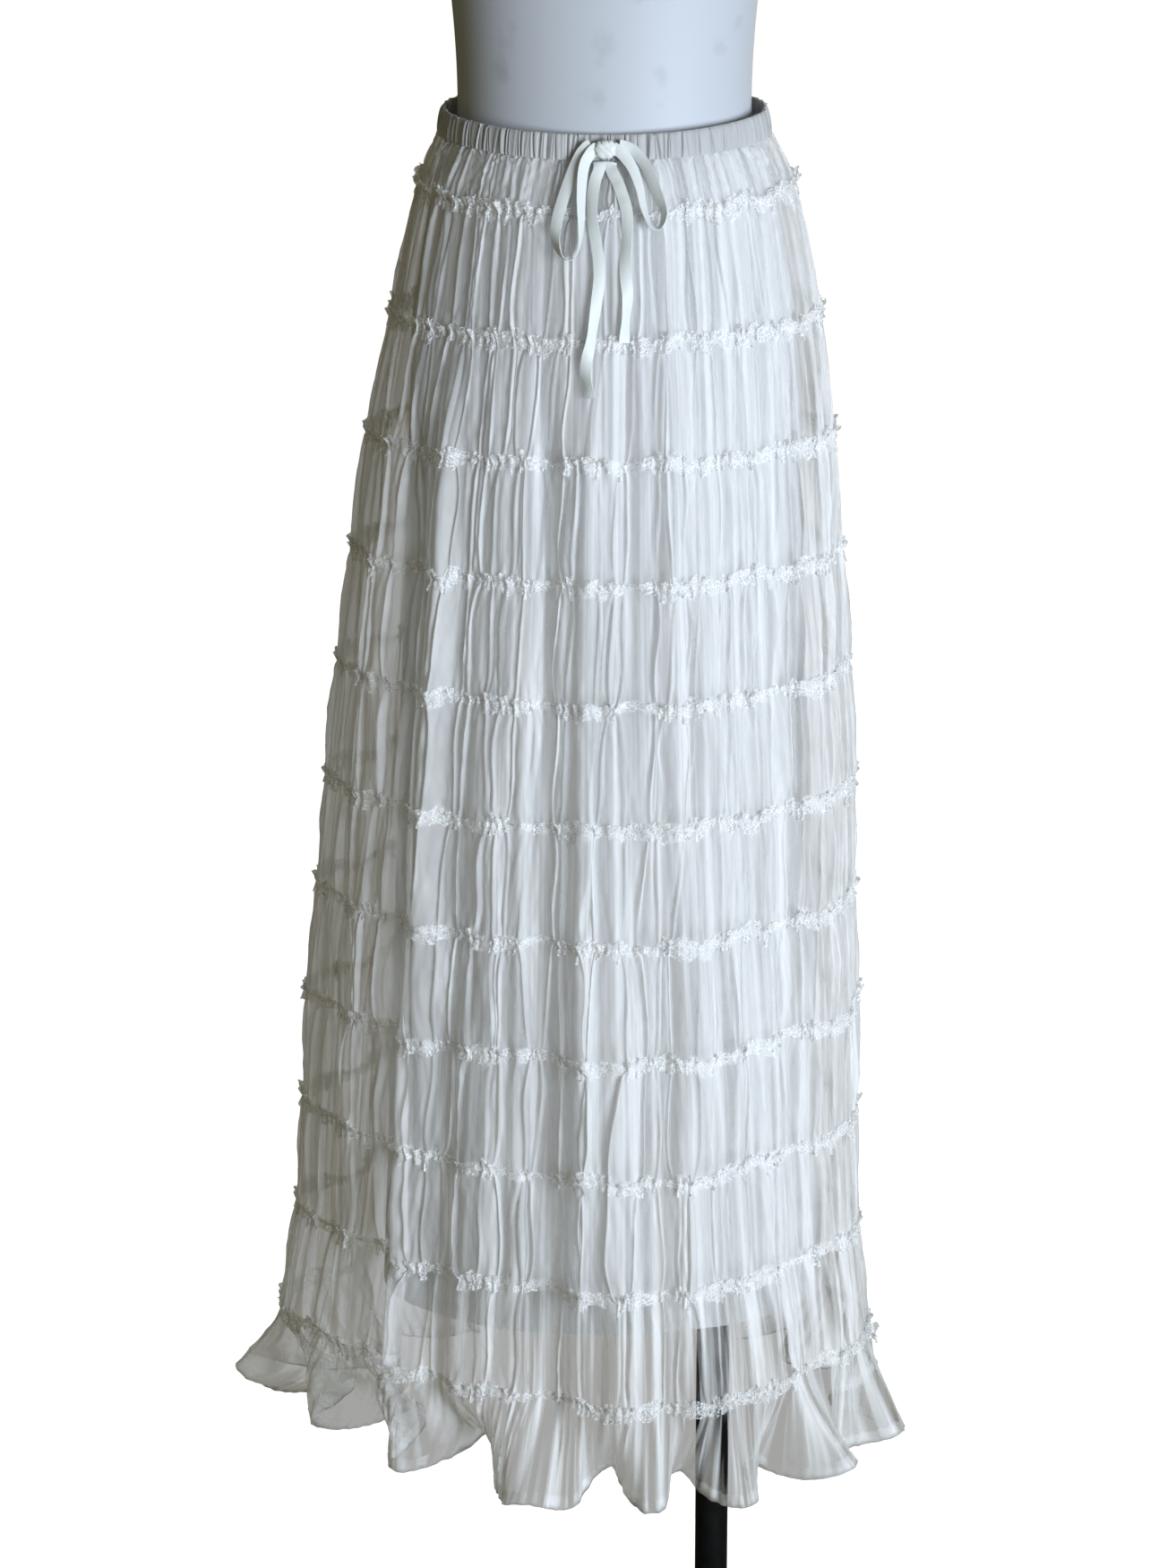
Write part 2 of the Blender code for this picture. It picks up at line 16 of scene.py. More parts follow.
import bpy
import numpy as np
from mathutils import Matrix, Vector
from mathutils.bvhtree import BVHTree

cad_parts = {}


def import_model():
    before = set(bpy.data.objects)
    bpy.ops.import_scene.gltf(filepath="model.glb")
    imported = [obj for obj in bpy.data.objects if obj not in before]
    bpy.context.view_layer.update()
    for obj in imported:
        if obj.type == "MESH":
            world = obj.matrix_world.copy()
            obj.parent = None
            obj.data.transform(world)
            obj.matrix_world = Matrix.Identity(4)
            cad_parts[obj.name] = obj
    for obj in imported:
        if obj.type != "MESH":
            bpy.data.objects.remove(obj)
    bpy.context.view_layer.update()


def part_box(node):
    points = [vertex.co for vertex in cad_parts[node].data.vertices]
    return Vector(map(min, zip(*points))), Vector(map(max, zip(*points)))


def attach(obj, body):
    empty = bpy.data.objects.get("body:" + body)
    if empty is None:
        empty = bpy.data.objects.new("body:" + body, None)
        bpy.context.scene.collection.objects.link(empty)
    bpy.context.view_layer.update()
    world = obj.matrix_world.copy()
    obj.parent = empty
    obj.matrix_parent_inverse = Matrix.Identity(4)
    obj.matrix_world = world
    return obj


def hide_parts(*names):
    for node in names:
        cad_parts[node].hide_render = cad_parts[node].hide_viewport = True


LOG = logging.getLogger("gathered_skirt")
MM = 0.001
TAU = math.tau
BODY = "root"
Array = np.ndarray
Triple = tuple[float, float, float]
Socket = bpy.types.NodeSocket

# Steps round the skirt: for measuring a length and for placing points on it. Then those round a turned solid,
# and the angle from which its edges are sharp, in degrees.
LENGTH_STEPS = 720
PLACING_STEPS = 2880
TURNED_STEPS = 96
TURNED_SHARP = 40.0

# How far the waves of a noise differ in length from the typical one, and the level that it is brought to.
NOISE_SPREAD = (0.5, 1.5)
NOISE_LEVEL = 0.6

# How square the rounds of the form and the lining are: 2 for an ellipse.
SQUARENESS = 2.05

# Reaches of the skirt's pinched seams in millimetres, a row for each seam.
# Columns: below the waist, then the reach at azimuth 0, 45, 90, 135, 180, -135, -90 and -45.
LEVELS = np.array(
    (
        (-9, 85, 102, 121, 102, 86, 102, 121, 102),
        (9, 87, 104, 124, 104, 88, 104, 124, 104),
        (47, 106, 118, 142, 124, 110, 124, 140, 117),
        (141, 113, 127, 163, 142, 124, 142, 161, 125),
        (231, 121, 133, 175, 154, 134, 155, 180, 130),
        (322, 127, 139, 182, 163, 143, 165, 189, 135),
        (414, 133, 145, 187, 170, 151, 173, 199, 143),
        (508, 139, 151, 193, 176, 158, 182, 207, 151),
        (599, 145, 156, 194, 182, 165, 191, 213, 152),
        (691, 151, 163, 198, 188, 171, 199, 218, 155),
        (785, 157, 168, 199, 193, 177, 206, 224, 159),
        (877, 163, 175, 203, 198, 184, 212, 227, 163),
        (967, 170, 190, 211, 205, 192, 221, 240, 169),
    ),
    dtype=float,
)

# Large hanging folds. Columns: azimuth, half its width in degrees, depth at the lowest seam and the drop where it
# starts, both in millimetres.
FOLDS = (
    (-100, 17, 27, 230),
    (-72, 13, -15, 230),
    (-56, 9, 9, 140),
    (-38, 10, 7, 60),
    (-16, 12, -14, 140),
    (5, 10, 9, 60),
    (29, 11, 8, 140),
    (60, 13, -12, 140),
    (83, 12, 9, 230),
    (107, 12, -13, 230),
    (131, 13, 13, 140),
    (156, 12, -12, 140),
    (-178, 12, 12, 140),
    (-153, 12, -13, 140),
    (-128, 13, 12, 230),
)

# Flutes of the hem. Columns: azimuth and reach of a crest, then of the valley after it, in millimetres.
FLUTES = (
    (-103, 314, -95, 205),
    (-87, 240, -74, 150),
    (-59, 196, -48, 120),
    (-16, 196, 1, 128),
    (12, 182, 23, 142),
    (34, 204, 47, 156),
    (58, 236, 69, 200),
    (81, 247, 96, 188),
    (109, 242, 121, 176),
    (133, 236, 145, 160),
    (158, 224, 170, 152),
    (-177, 222, -165, 156),
    (-152, 238, -140, 168),
    (-128, 262, -117, 196),
)

# The main creases between the seams: ridges stand out and troughs lie back.
# Columns: azimuth, half its width in degrees, depth, and the drops between which it shows, in millimetres.
CREASES = (
    (-66, 7, -12, 190, 967),
    (-55, 5, 12, 140, 640),
    (-60, 4.5, 7, 620, 967),
    (-51, 5, -5, 620, 967),
    (-42, 5, 5, 600, 967),
    (-31, 5, -3, 420, 900),
    (-21, 7, -8, 140, 760),
    (-6, 5.5, 5.5, 190, 880),
    (8, 5.5, -10, 90, 600),
    (22, 6, 7, 90, 967),
    (34, 5, -3.5, 420, 967),
    (46, 5, -4, 300, 880),
    (58, 5, -5, 330, 700),
    (68, 6, 4.5, 300, 967),
    (84, 6, -5, 240, 967),
    (95, 5, 4, 300, 800),
    (104, 5, -5, 230, 700),
    (115, 6, 5, 420, 967),
    (127, 5, -6, 140, 880),
    (139, 6, 4, 240, 780),
    (152, 5, -7, 300, 967),
    (163, 5, 5, 190, 700),
    (174, 6, -4, 480, 967),
    (-173, 5, 5.5, 240, 880),
    (-161, 6, -6, 140, 700),
    (-149, 5, 4, 380, 967),
    (-138, 5, -5, 240, 820),
    (-124, 7, 5, 190, 967),
    (-112, 5, -6, 420, 967),
    (-97, 7, 4, 140, 700),
    (-84, 5, -5, 300, 900),
    (-77, 5, 4, 240, 967),
)

# The lining's reaches in millimetres. Columns: below the waist, front, side, back.
LINING = (
    (9.2, 83.2, 119.2, 84.4),
    (47, 96, 131, 101),
    (141, 104, 147, 114),
    (925, 126, 180, 148),
)

# The form's rounds in millimetres. Columns: above the waist, half its width, reach to the front, reach to the back.
FORM_ROUNDS = (
    (-330, 124, 79, 88),
    (-318, 133, 87, 96),
    (-285, 141, 93, 103),
    (-220, 146, 98, 108),
    (-150, 143, 98, 108),
    (-95, 134, 94, 101),
    (-45, 121, 86.5, 88),
    (0, 111.4, 80.6, 81.4),
    (44, 110.4, 78.5, 79),
    (98, 114, 84, 80),
    (150, 121, 94, 83),
    (205, 129, 104, 88),
    (260, 137, 104, 92),
    (310, 153, 94, 94),
    (350, 170, 80, 88),
    (378, 168, 68, 80),
    (402, 128, 58, 70),
    (424, 78, 51, 60),
    (450, 57, 48, 55),
    (500, 53, 47, 52),
)

# The bow's ribbons. Columns: millimetres across from the knot, below it, off the cloth, and the ribbon's turn in
# degrees, 0 where its flat side faces out.
BOW_LOOP_LEFT = (
    (-10.3, -3, 4.6, 0),
    (-14, -1, 4.6, 0),
    (-20, 8, 4.2, 15),
    (-29, 30, 4.4, 15),
    (-35, 50, 5.0, 20),
    (-36, 64, 6.0, 45),
    (-31, 75, 7.4, 75),
    (-23, 76, 8.0, 85),
    (-18.5, 66, 7.4, 75),
    (-17.5, 50, 7.6, 55),
    (-17.5, 32, 8.4, 40),
    (-15.5, 12, 8.0, 25),
    (-10, 2, 6.6, 10),
    (-5.5, -1.5, 5.6, 0),
)
BOW_LOOP_RIGHT = (
    (10.3, -3, 4.6, 0),
    (14, -2, 4.6, 0),
    (21, 1, 4.4, 15),
    (30, 12, 4.6, 20),
    (38, 30, 5.4, 30),
    (43, 44, 6.4, 55),
    (40, 54, 7.6, 80),
    (33, 52, 8.0, 80),
    (28, 40, 7.4, 60),
    (25, 26, 8.0, 45),
    (19.5, 12, 7.8, 30),
    (12, 2.5, 6.6, 10),
    (5.5, -1.5, 5.6, 0),
)
BOW_TAIL_LEFT = (
    (-4.3, 9.4, 4.2, 0),
    (-4.3, 14, 3.6, 0),
    (-8, 26, 2.6, 15),
    (-9.5, 46, 2.6, 30),
    (-6, 68, 2.4, 15),
    (-4, 88, 2.4, 0),
    (-6.5, 110, 2.6, -15),
    (-10, 134, 3.6, -35),
    (-14, 156, 4.2, 15),
    (-13, 168, 4.6, 35),
    (-10.5, 178, 4.8, 20),
)
BOW_TAIL_RIGHT = (
    (4.6, 9.4, 4.2, 0),
    (4.5, 14, 3.6, 0),
    (10.5, 26, 2.6, 0),
    (16, 44, 2.6, 10),
    (15.5, 66, 2.4, 30),
    (15, 86, 2.6, 10),
    (16.5, 104, 2.6, -20),
    (15, 122, 3.6, -45),
    (14, 138, 4.2, -20),
)

# Where ribbons cross frills. Columns: the seam, and how far across from the waist's middle, in millimetres.
RIBBONS_OVER_FRILLS = (
    (1, -35),
    (1, -17.5),
    (1, -9.5),
    (1, 16),
    (1, 26),
    (1, 43),
    (2, -12),
)


class Slot(Enum):
    """The record's material slots."""

    CHIFFON = "chiffon"
    LINING = "lining"
    SATIN = "satin"
    FORM = "form_shell"
    STEEL = "black_steel"


class RibbonEnd(Enum):
    """How a ribbon of the bow ends."""

    CUT = "bare"
    BACK_IN_KNOT = "object"


class NoiseKey(IntEnum):
    """Where the seeds of each kind of unevenness start; a tier's or a seam's number is added to them."""

    GATHERS = 0
    STREAKS = 400
    SLOW_SWAY = 501
    OWN_SWAY = 510
    WANDER = 600
    FINE_WANDER = 700
    FLOUNCE_WAVES = 801
    PUCKER_PLACES = 901
    PUCKER_SIZES = 902
    CASING_CRUMPLES = 903
    CASING_TWIST = 904


# ---------------------------------------------------------------------------------------------------------------
# Curves and numbers
# ---------------------------------------------------------------------------------------------------------------


def mix(start: Array | float, end: Array | float, share: Array | float) -> Array | float:
    """The value at a share of the way from start to end."""
    return start + (end - start) * share


def soft_step(value: Array | float) -> Array | float:
    """A smooth step from 0 to 1 for a value from 0 to 1."""
    held = np.clip(value, 0.0, 1.0)
    return held * held * (3 - 2 * held)


def eased(share: Array | float) -> Array | float:
    """A share from 0 to 1 that starts and ends slowly."""
    return 0.5 - 0.5 * np.cos(np.pi * share)


def mound(off: Array) -> Array:
    """A smooth mound: 1 at an offset of 0, and 0 at offsets of 1 and more."""
    return 0.5 + 0.5 * np.cos(np.pi * np.minimum(off, 1))


def swell(share: float, power: float) -> float:
    """How full the cloth is at a share of the way between two seams: 1 half way, 0 at both."""
    return math.sin(math.pi * share) ** power if 0 < share < 1 else 0.0


def off_centre(azimuth: Array, centre: float, half_width: float) -> Array:
    """How far azimuths are from a centre the short way round, in half widths."""
    return np.abs((azimuth - centre + 180) % 360 - 180) / half_width


def length_of(line: Array) -> float:
    """The length of a line through points."""
    return float(np.linalg.norm(np.diff(line, axis=0), axis=1).sum())


def curve_through(before: Array, start: Array, end: Array, after: Array, share: Array) -> Array:
    """A Catmull-Rom curve's value between start and end.

    Args:
        before: The value before start.
        start: The value at share 0.
        end: The value at share 1.
        after: The value after end.
        share: How far between start and end.

    Returns:
        The value there.
    """
    slope_in = (end - before) / 2
    slope_out = (after - start) / 2
    square = share * share
    cube = square * share
    return (
        (2 * cube - 3 * square + 1) * start
        + (cube - 2 * square + share) * slope_in
        + (3 * square - 2 * cube) * end
        + (cube - square) * slope_out
    )


def smooth_rows(rows: tuple[tuple[float, ...], ...], count: int) -> Array:
    """Rows at equal steps on a smooth curve through the given ones.

    Args:
        rows: The table that the curve runs through.
        count: How many rows to return.

    Returns:
        An array of count rows.
    """
    table = np.array(rows, dtype=float)
    last = len(table) - 1
    along = np.linspace(0, last, count)
    first = np.minimum(along.astype(int), last - 1)
    four = [table[np.clip(first + step, 0, last)] for step in (-1, 0, 1, 2)]
    return curve_through(*four, (along - first)[:, None])


def ring_noise(cloth: Array, rng: np.random.Generator, cycles: float, waves: int = 7) -> Array:
    """Smooth noise that closes on itself round the skirt.

    Args:
        cloth: Cloth coordinates, 0 to 1.
        rng: The seeded source of the waves.
        cycles: The typical number of waves in one round.
        waves: How many waves are added up.

    Returns:
        Values mostly between -1 and 1.
    """
    total = np.zeros_like(cloth)
    for _ in range(waves):
        turns = max(1, round(cycles * rng.uniform(*NOISE_SPREAD)))
        total += np.sin(TAU * (turns * cloth + rng.random()))
    return total / math.sqrt(waves / 2) * NOISE_LEVEL


@dataclass(frozen=True)
class SkirtShape:
    """The skirt's large form, the same as the solids': seams, hanging folds and hem flutes."""

    waist_height: float = 1.320
    waist_x: float = -0.090
    waist_dip: float = 0.0095
    dip_fades_by: float = 0.25
    flounce_depth: float = 0.086
    flute_opens: float = 1.25
    flute_steepness: float = 1.3
    flounce_hangs: float = 0.6
    crease_fades: float = 0.09
    tiers: int = 10

    def seam_drop(self, seam: int) -> float:
        """The drop of a seam; seam 0 is the waistband's lower edge and the last one carries the flounce."""
        return float(LEVELS[1 + seam, 0]) * MM

    def fold_reach(self, azimuth: Array, drop: Array | float) -> Array:
        """What the large hanging folds add.

        Args:
            azimuth: Azimuths in degrees.
            drop: Drops in metres.

        Returns:
            Metres to add to the reach.
        """
        lowest = LEVELS[-1, 0] * MM
        total = np.zeros_like(azimuth)
        for centre, half_width, depth, start in FOLDS:
            grown = np.maximum((drop - start * MM) / (lowest - start * MM), 0)
            total += depth * MM * grown * mound(off_centre(azimuth, centre, half_width))
        return total

    def crease_reach(self, azimuth: Array, drop: float) -> Array:
        """What the main creases add; each fades in and out over a tier.

        Args:
            azimuth: Azimuths in degrees.
            drop: The drop in metres.

        Returns:
            Metres to add to the reach.
        """
        total = np.zeros_like(azimuth)
        for centre, half_width, depth, first, last in CREASES:
            starts = soft_step((drop - first * MM) / self.crease_fades)
            ends = soft_step((last * MM + self.crease_fades - drop) / self.crease_fades)
            total += depth * MM * starts * ends * mound(off_centre(azimuth, centre, half_width))
        return total

    def seam_reach(self, azimuth: Array, drop: float) -> Array:
        """The reach of the pinched cloth at a drop, hanging folds included.

        Args:
            azimuth: Azimuths in degrees.
            drop: The drop in metres.

        Returns:
            Reaches from the waist's axis, in metres.
        """
        drops = LEVELS[:, 0] * MM
        row = int(np.clip(np.searchsorted(drops, drop) - 1, 0, len(drops) - 2))
        share = min(max((drop - drops[row]) / (drops[row + 1] - drops[row]), 0.0), 1.0)
        reaches = mix(LEVELS[row, 1:], LEVELS[row + 1, 1:], share) * MM
        sector = (azimuth % 360) / (360 / len(reaches))
        first = np.floor(sector).astype(int)
        four = [reaches[(first + step) % len(reaches)] for step in (-1, 0, 1, 2)]
        return curve_through(*four, sector - first) + self.fold_reach(azimuth, drop)

    def hem_reach(self, azimuth: Array) -> Array:
        """The reach of the hem's edge through the crests and valleys of its flutes."""
        stops, reaches = [], []
        for crest, crest_reach, valley, valley_reach in FLUTES:
            stops += [crest, valley]
            reaches += [crest_reach, valley_reach]
        around = np.unwrap(stops, period=360)
        around = np.append(around, around[0] + 360)
        edge = np.array([*reaches, reaches[0]]) * MM
        at = around[0] + (azimuth - around[0]) % 360
        row = np.clip(np.searchsorted(around, at, side="right") - 1, 0, len(around) - 2)
        share = (at - around[row]) / (around[row + 1] - around[row])
        steep = np.clip(0.5 + self.flute_steepness * (share - 0.5), 0, 1)
        return mix(edge[row], edge[row + 1], eased(steep))

    def flounce_reach(self, azimuth: Array, share: float) -> Array:
        """The reach of the flounce at a share of the way down its cloth."""
        top = self.seam_reach(azimuth, self.seam_drop(self.tiers + 1))
        return mix(top, self.hem_reach(azimuth), share**self.flute_opens)

    def flounce_drop(self, azimuth: Array, share: float) -> Array:
        """How far the flounce hangs below the waist; cloth that leans hangs less low."""
        seam = self.seam_drop(self.tiers + 1)
        lean = self.flounce_reach(azimuth, share) - self.seam_reach(azimuth, seam)
        length = self.flounce_depth * share
        return seam + np.sqrt(np.maximum(length**2 - lean**2, (self.flounce_hangs * length) ** 2))

    def height(self, azimuth: Array, drop: Array | float) -> Array:
        """The height above the floor; the waist dips to the front and the lower seams are level."""
        fade = np.maximum(0.0, 1 - np.asarray(drop) / self.dip_fades_by)
        return self.waist_height - drop + self.waist_dip * fade * (1 - np.cos(np.radians(azimuth)))

    def points(self, azimuth: Array, reach: Array, height: Array | float) -> Array:
        """Points in space from azimuths, reaches and heights, one row for each."""
        angle = np.radians(azimuth)
        across = self.waist_x + reach * np.sin(angle)
        return np.stack([across, -reach * np.cos(angle), np.broadcast_to(height, across.shape)], axis=-1)

    def level_round(self, azimuth: Array, drop: float) -> Array:
        """The pinched round at a drop, as points at azimuths."""
        return self.points(azimuth, self.seam_reach(azimuth, drop), self.height(azimuth, drop))

    def round_length(self, drop: float) -> float:
        """The length of the pinched round at a drop, in metres."""
        fine = np.linspace(-180, 180, LENGTH_STEPS + 1)
        return length_of(self.points(fine, self.seam_reach(fine, drop), 0.0))

    def even_azimuths(self, cloth: Array, reach_at: Callable[[Array], Array]) -> Array:
        """Azimuths at equal steps of length along a closed round.

        Args:
            cloth: Cloth coordinates, 0 to 1.
            reach_at: Gives the reach at azimuths.

        Returns:
            Azimuths in degrees, from -180 to 180.
        """
        fine = np.linspace(-180, 180, PLACING_STEPS + 1)
        steps = np.linalg.norm(np.diff(self.points(fine, reach_at(fine), 0.0), axis=0), axis=1)
        along = np.concatenate([[0.0], np.cumsum(steps)])
        return np.interp(cloth % 1.0, along / along[-1], fine)

    def azimuths_along(self, drop: float, cloth: Array) -> Array:
        """The azimuths at equal steps of the cloth along the pinched round at a drop."""
        return self.even_azimuths(cloth, lambda azimuth: self.seam_reach(azimuth, drop))

    def hem_azimuths(self, cloth: Array) -> Array:
        """The azimuths at equal steps of the cloth along the hem's edge."""
        return self.even_azimuths(cloth, self.hem_reach)


def outward(line: Array) -> tuple[Array, Array]:
    """The level directions of a closed round of points that runs from the back over the left to the front.

    Args:
        line: Points, one row for each.

    Returns:
        Unit directions out of the skirt, and along the line.
    """
    ahead = np.roll(line, -1, axis=0) - np.roll(line, 1, axis=0)
    ahead[:, 2] = 0
    ahead /= np.linalg.norm(ahead, axis=1)[:, None]
    out = np.stack([ahead[:, 1], -ahead[:, 0], np.zeros(len(line))], axis=1)
    return out, ahead


def around_mean(values: Array, reach: int) -> Array:
    """A closed row of values, each the mean of those within reach of it."""
    width = 2 * reach + 1
    padded = np.concatenate([values[-reach:], values, values[:reach]])
    if padded.ndim == 1:
        return np.convolve(padded, np.ones(width) / width, mode="valid")
    return np.stack([np.convolve(column, np.ones(width) / width, mode="valid") for column in padded.T], axis=1)


def squared_reach(azimuth: Array, side: float, front: float, back: float) -> Array:
    """The reach of a round a little squarer than an ellipse.

    Args:
        azimuth: Azimuths in degrees.
        side: Its reach at the sides.
        front: Its reach at the front.
        back: Its reach at the back.

    Returns:
        Its reaches.
    """
    angle = np.radians(azimuth)
    deep = np.where(np.cos(angle) > 0, front, back)
    across = np.abs(np.sin(angle) / side) ** SQUARENESS
    along = np.abs(np.cos(angle) / deep) ** SQUARENESS
    return (across + along) ** (-1 / SQUARENESS)


# ---------------------------------------------------------------------------------------------------------------
# Meshes
# ---------------------------------------------------------------------------------------------------------------


def round_faces(index: Array) -> Array:
    """Four-cornered faces between rows of point numbers, each row a closed round."""
    after = np.roll(index, -1, axis=1)
    return np.stack([index[:-1], index[1:], after[1:], after[:-1]], axis=-1).reshape(-1, 4)


def round_grids(name: str, tubes: list[Array], material: bpy.types.Material) -> bpy.types.Object:
    """Smooth open tubes of cloth in one object, each through closed rounds of points.

    Args:
        name: The piece's name.
        tubes: For each tube an array (rounds, points, 3), from the top down.
        material: Its finish.

    Returns:
        The new object.
    """
    faces, points = [], []
    start = 0
    for rows in tubes:
        rounds, count, _ = rows.shape
        faces.append(round_faces(start + np.arange(rounds * count).reshape(rounds, count)))
        points.append(rows.reshape(-1, 3))
        start += rounds * count
    return mesh_object(name, np.concatenate(points), np.concatenate(faces).tolist(), material)


def strip_grid(name: str, rows: Array, material: bpy.types.Material) -> bpy.types.Object:
    """A closed tube, such as a ribbon with thickness, through closed sections, with its ends filled.

    Args:
        name: The piece's name.
        rows: An array (sections, points, 3).
        material: Its finish.

    Returns:
        The new object.
    """
    sections, count, _ = rows.shape
    index = np.arange(sections * count).reshape(sections, count)
    faces = [*round_faces(index).tolist(), index[0].tolist(), index[-1][::-1].tolist()]
    return mesh_object(name, rows.reshape(-1, 3), faces, material)


def mesh_object(
    name: str, points: Array, faces: list[list[int]], material: bpy.types.Material
) -> bpy.types.Object:
    """A smooth mesh object from points and faces.

    Args:
        name: The piece's name.
        points: An array (points, 3).
        faces: Lists of point numbers.
        material: Its finish.

    Returns:
        The new object, linked to the scene.
    """
    mesh = bpy.data.meshes.new(name)
    mesh.from_pydata(points.tolist(), [], faces)
    mesh.materials.append(material)
    mesh.shade_smooth()
    mesh.update()
    piece = bpy.data.objects.new(name, mesh)
    bpy.context.scene.collection.objects.link(piece)
    return piece


def turned(name: str, profile: list[tuple[float, float]], material: bpy.types.Material) -> bpy.types.Object:
    """A closed solid turned about the stand's upright axis.

    Args:
        name: The piece's name.
        profile: Pairs of radius and height from the top down; a closed loop if its ends meet.
        material: Its finish.

    Returns:
        The new object.
    """
    angle = TAU * np.arange(TURNED_STEPS) / TURNED_STEPS
    circle = np.stack([np.sin(angle), -np.cos(angle)], axis=1)
    rings = [np.column_stack([circle * radius, np.full(TURNED_STEPS, height)]) for radius, height in profile]
    index = np.arange(len(rings) * TURNED_STEPS).reshape(len(rings), TURNED_STEPS)
    closed = profile[0] == profile[-1]
    if closed:
        rings.pop()
        index[-1] = index[0]
    faces = round_faces(index).tolist()
    if not closed:
        faces += [index[0].tolist(), index[-1][::-1].tolist()]
    piece = mesh_object(name, np.concatenate(rings), faces, material)
    piece.data.set_sharp_from_angle(angle=math.radians(TURNED_SHARP))
    return piece


# ---------------------------------------------------------------------------------------------------------------
# Finishes
# ---------------------------------------------------------------------------------------------------------------


@dataclass(frozen=True)
class Grain:
    """A fine texture.

    Its scale is in waves to the metre, detail counts its octaves, relief says how strongly it shows and height how
    far it stands out in metres, and stretch is the factor along each axis.
    """

    scale: float
    detail: float
    relief: float = 0.0
    height: float = 0.0
    stretch: Triple = (1.0, 1.0, 1.0)


class NodeSheet:
    """A new material's node tree, with short calls to fill it."""

    def __init__(self, name: str) -> None:
        """Starts an empty tree.

        Args:
            name: The material's name.
        """
        self.material = bpy.data.materials.new(name)
        self.material.use_nodes = True
        self.tree = self.material.node_tree
        self.tree.nodes.clear()
        self.output = self.tree.nodes.new("ShaderNodeOutputMaterial")

    def add(self, kind: str, inputs: dict | None = None, **settings) -> bpy.types.Node:
        """Adds a node.

        Args:
            kind: The node's type name, without ShaderNode.
            inputs: A value or a socket to join, for each input's name or number.
            **settings: The node's properties.

        Returns:
            The new node.
        """
        node = self.tree.nodes.new("ShaderNode" + kind)
        for key, value in settings.items():
            setattr(node, key, value)
        for key, value in (inputs or {}).items():
            if isinstance(value, bpy.types.NodeSocket):
                self.tree.links.new(value, node.inputs[key])
            else:
                node.inputs[key].default_value = value
        return node

    def shown(self, shader: Socket) -> bpy.types.Material:
        """Shows a shader on the surface and returns the finished material."""
        self.tree.links.new(shader, self.output.inputs["Surface"])
        return self.material

    def mixed(self, share: Socket | float, first: Socket, second: Socket) -> Socket:
        """A mix of two shaders, by the second one's share."""
        return self.add("MixShader", {"Fac": share, 1: first, 2: second}).outputs[0]

    def times(self, first: Socket, second: Socket) -> Socket:
        """The product of two values."""
        return self.add("Math", {0: first, 1: second}, operation="MULTIPLY").outputs["Value"]

    def ranged(self, value: Socket, low: float, high: float, span: tuple[float, float] = (0.0, 1.0)) -> Socket:
        """A value that runs from low to high while the given one runs over a span."""
        limits = {"From Min": span[0], "From Max": span[1], "To Min": low, "To Max": high}
        return self.add("MapRange", {"Value": value, **limits}).outputs["Result"]

    def vector(self, operation: str, *inputs: Socket | Triple) -> Socket:
        """The result of a vector operation on sockets or triples."""
        return self.add("VectorMath", dict(enumerate(inputs)), operation=operation).outputs["Vector"]

    def place_round(self, radius: float, along: float) -> Socket:
        """Coordinates on a cylinder about the waist's axis, so that what runs down the skirt keeps to its azimuth.

        Args:
            radius: The cylinder's radius.
            along: The factor for heights.

        Returns:
            The coordinates.
        """
        coordinates = self.add("TexCoord").outputs["Object"]
        away = self.vector("SUBTRACT", coordinates, (SkirtShape.waist_x, 0.0, 0.0))
        level = self.vector("MULTIPLY", away, (1.0, 1.0, 0.0))
        on_circle = self.vector("MULTIPLY", self.vector("NORMALIZE", level), (radius, radius, 0.0))
        heights = self.vector("MULTIPLY", coordinates, (0.0, 0.0, along))
        return self.vector("ADD", on_circle, heights)

    def noise(self, grain: Grain, place: Socket | None = None) -> Socket:
        """A grain's value from 0 to 1.

        Args:
            grain: The grain.
            place: Its coordinates; without them, the object's own, stretched as the grain says.

        Returns:
            The value.
        """
        if place is None:
            coordinates = self.add("TexCoord").outputs["Object"]
            place = self.add("Mapping", {"Vector": coordinates, "Scale": grain.stretch}).outputs["Vector"]
        return self.add("TexNoise", {"Vector": place, "Scale": grain.scale, "Detail": grain.detail}).outputs["Fac"]

    def between(
        self, factor: Socket, low: Triple, high: Triple, span: tuple[float, float] = (0.35, 0.65)
    ) -> Socket:
        """A colour between two, by a value.

        Args:
            factor: The value.
            low: The colour at the low end.
            high: The colour at the high end.
            span: The values of the two ends.

        Returns:
            The colour.
        """
        ramp = self.add("ValToRGB", {"Fac": factor})
        for element, position, colour in zip(ramp.color_ramp.elements, span, (low, high)):
            element.position = position
            element.color = (*colour, 1)
        return ramp.outputs["Color"]

    def bump(self, value: Socket, grain: Grain, under: Socket | None = None) -> Socket:
        """A bumped normal.

        Args:
            value: The grain's value.
            grain: How strongly and how far it stands out.
            under: A normal that is bumped already, or nothing.

        Returns:
            The normal.
        """
        inputs = {"Strength": grain.relief, "Distance": grain.height, "Height": value}
        if under is not None:
            inputs["Normal"] = under
        return self.add("Bump", inputs).outputs["Normal"]


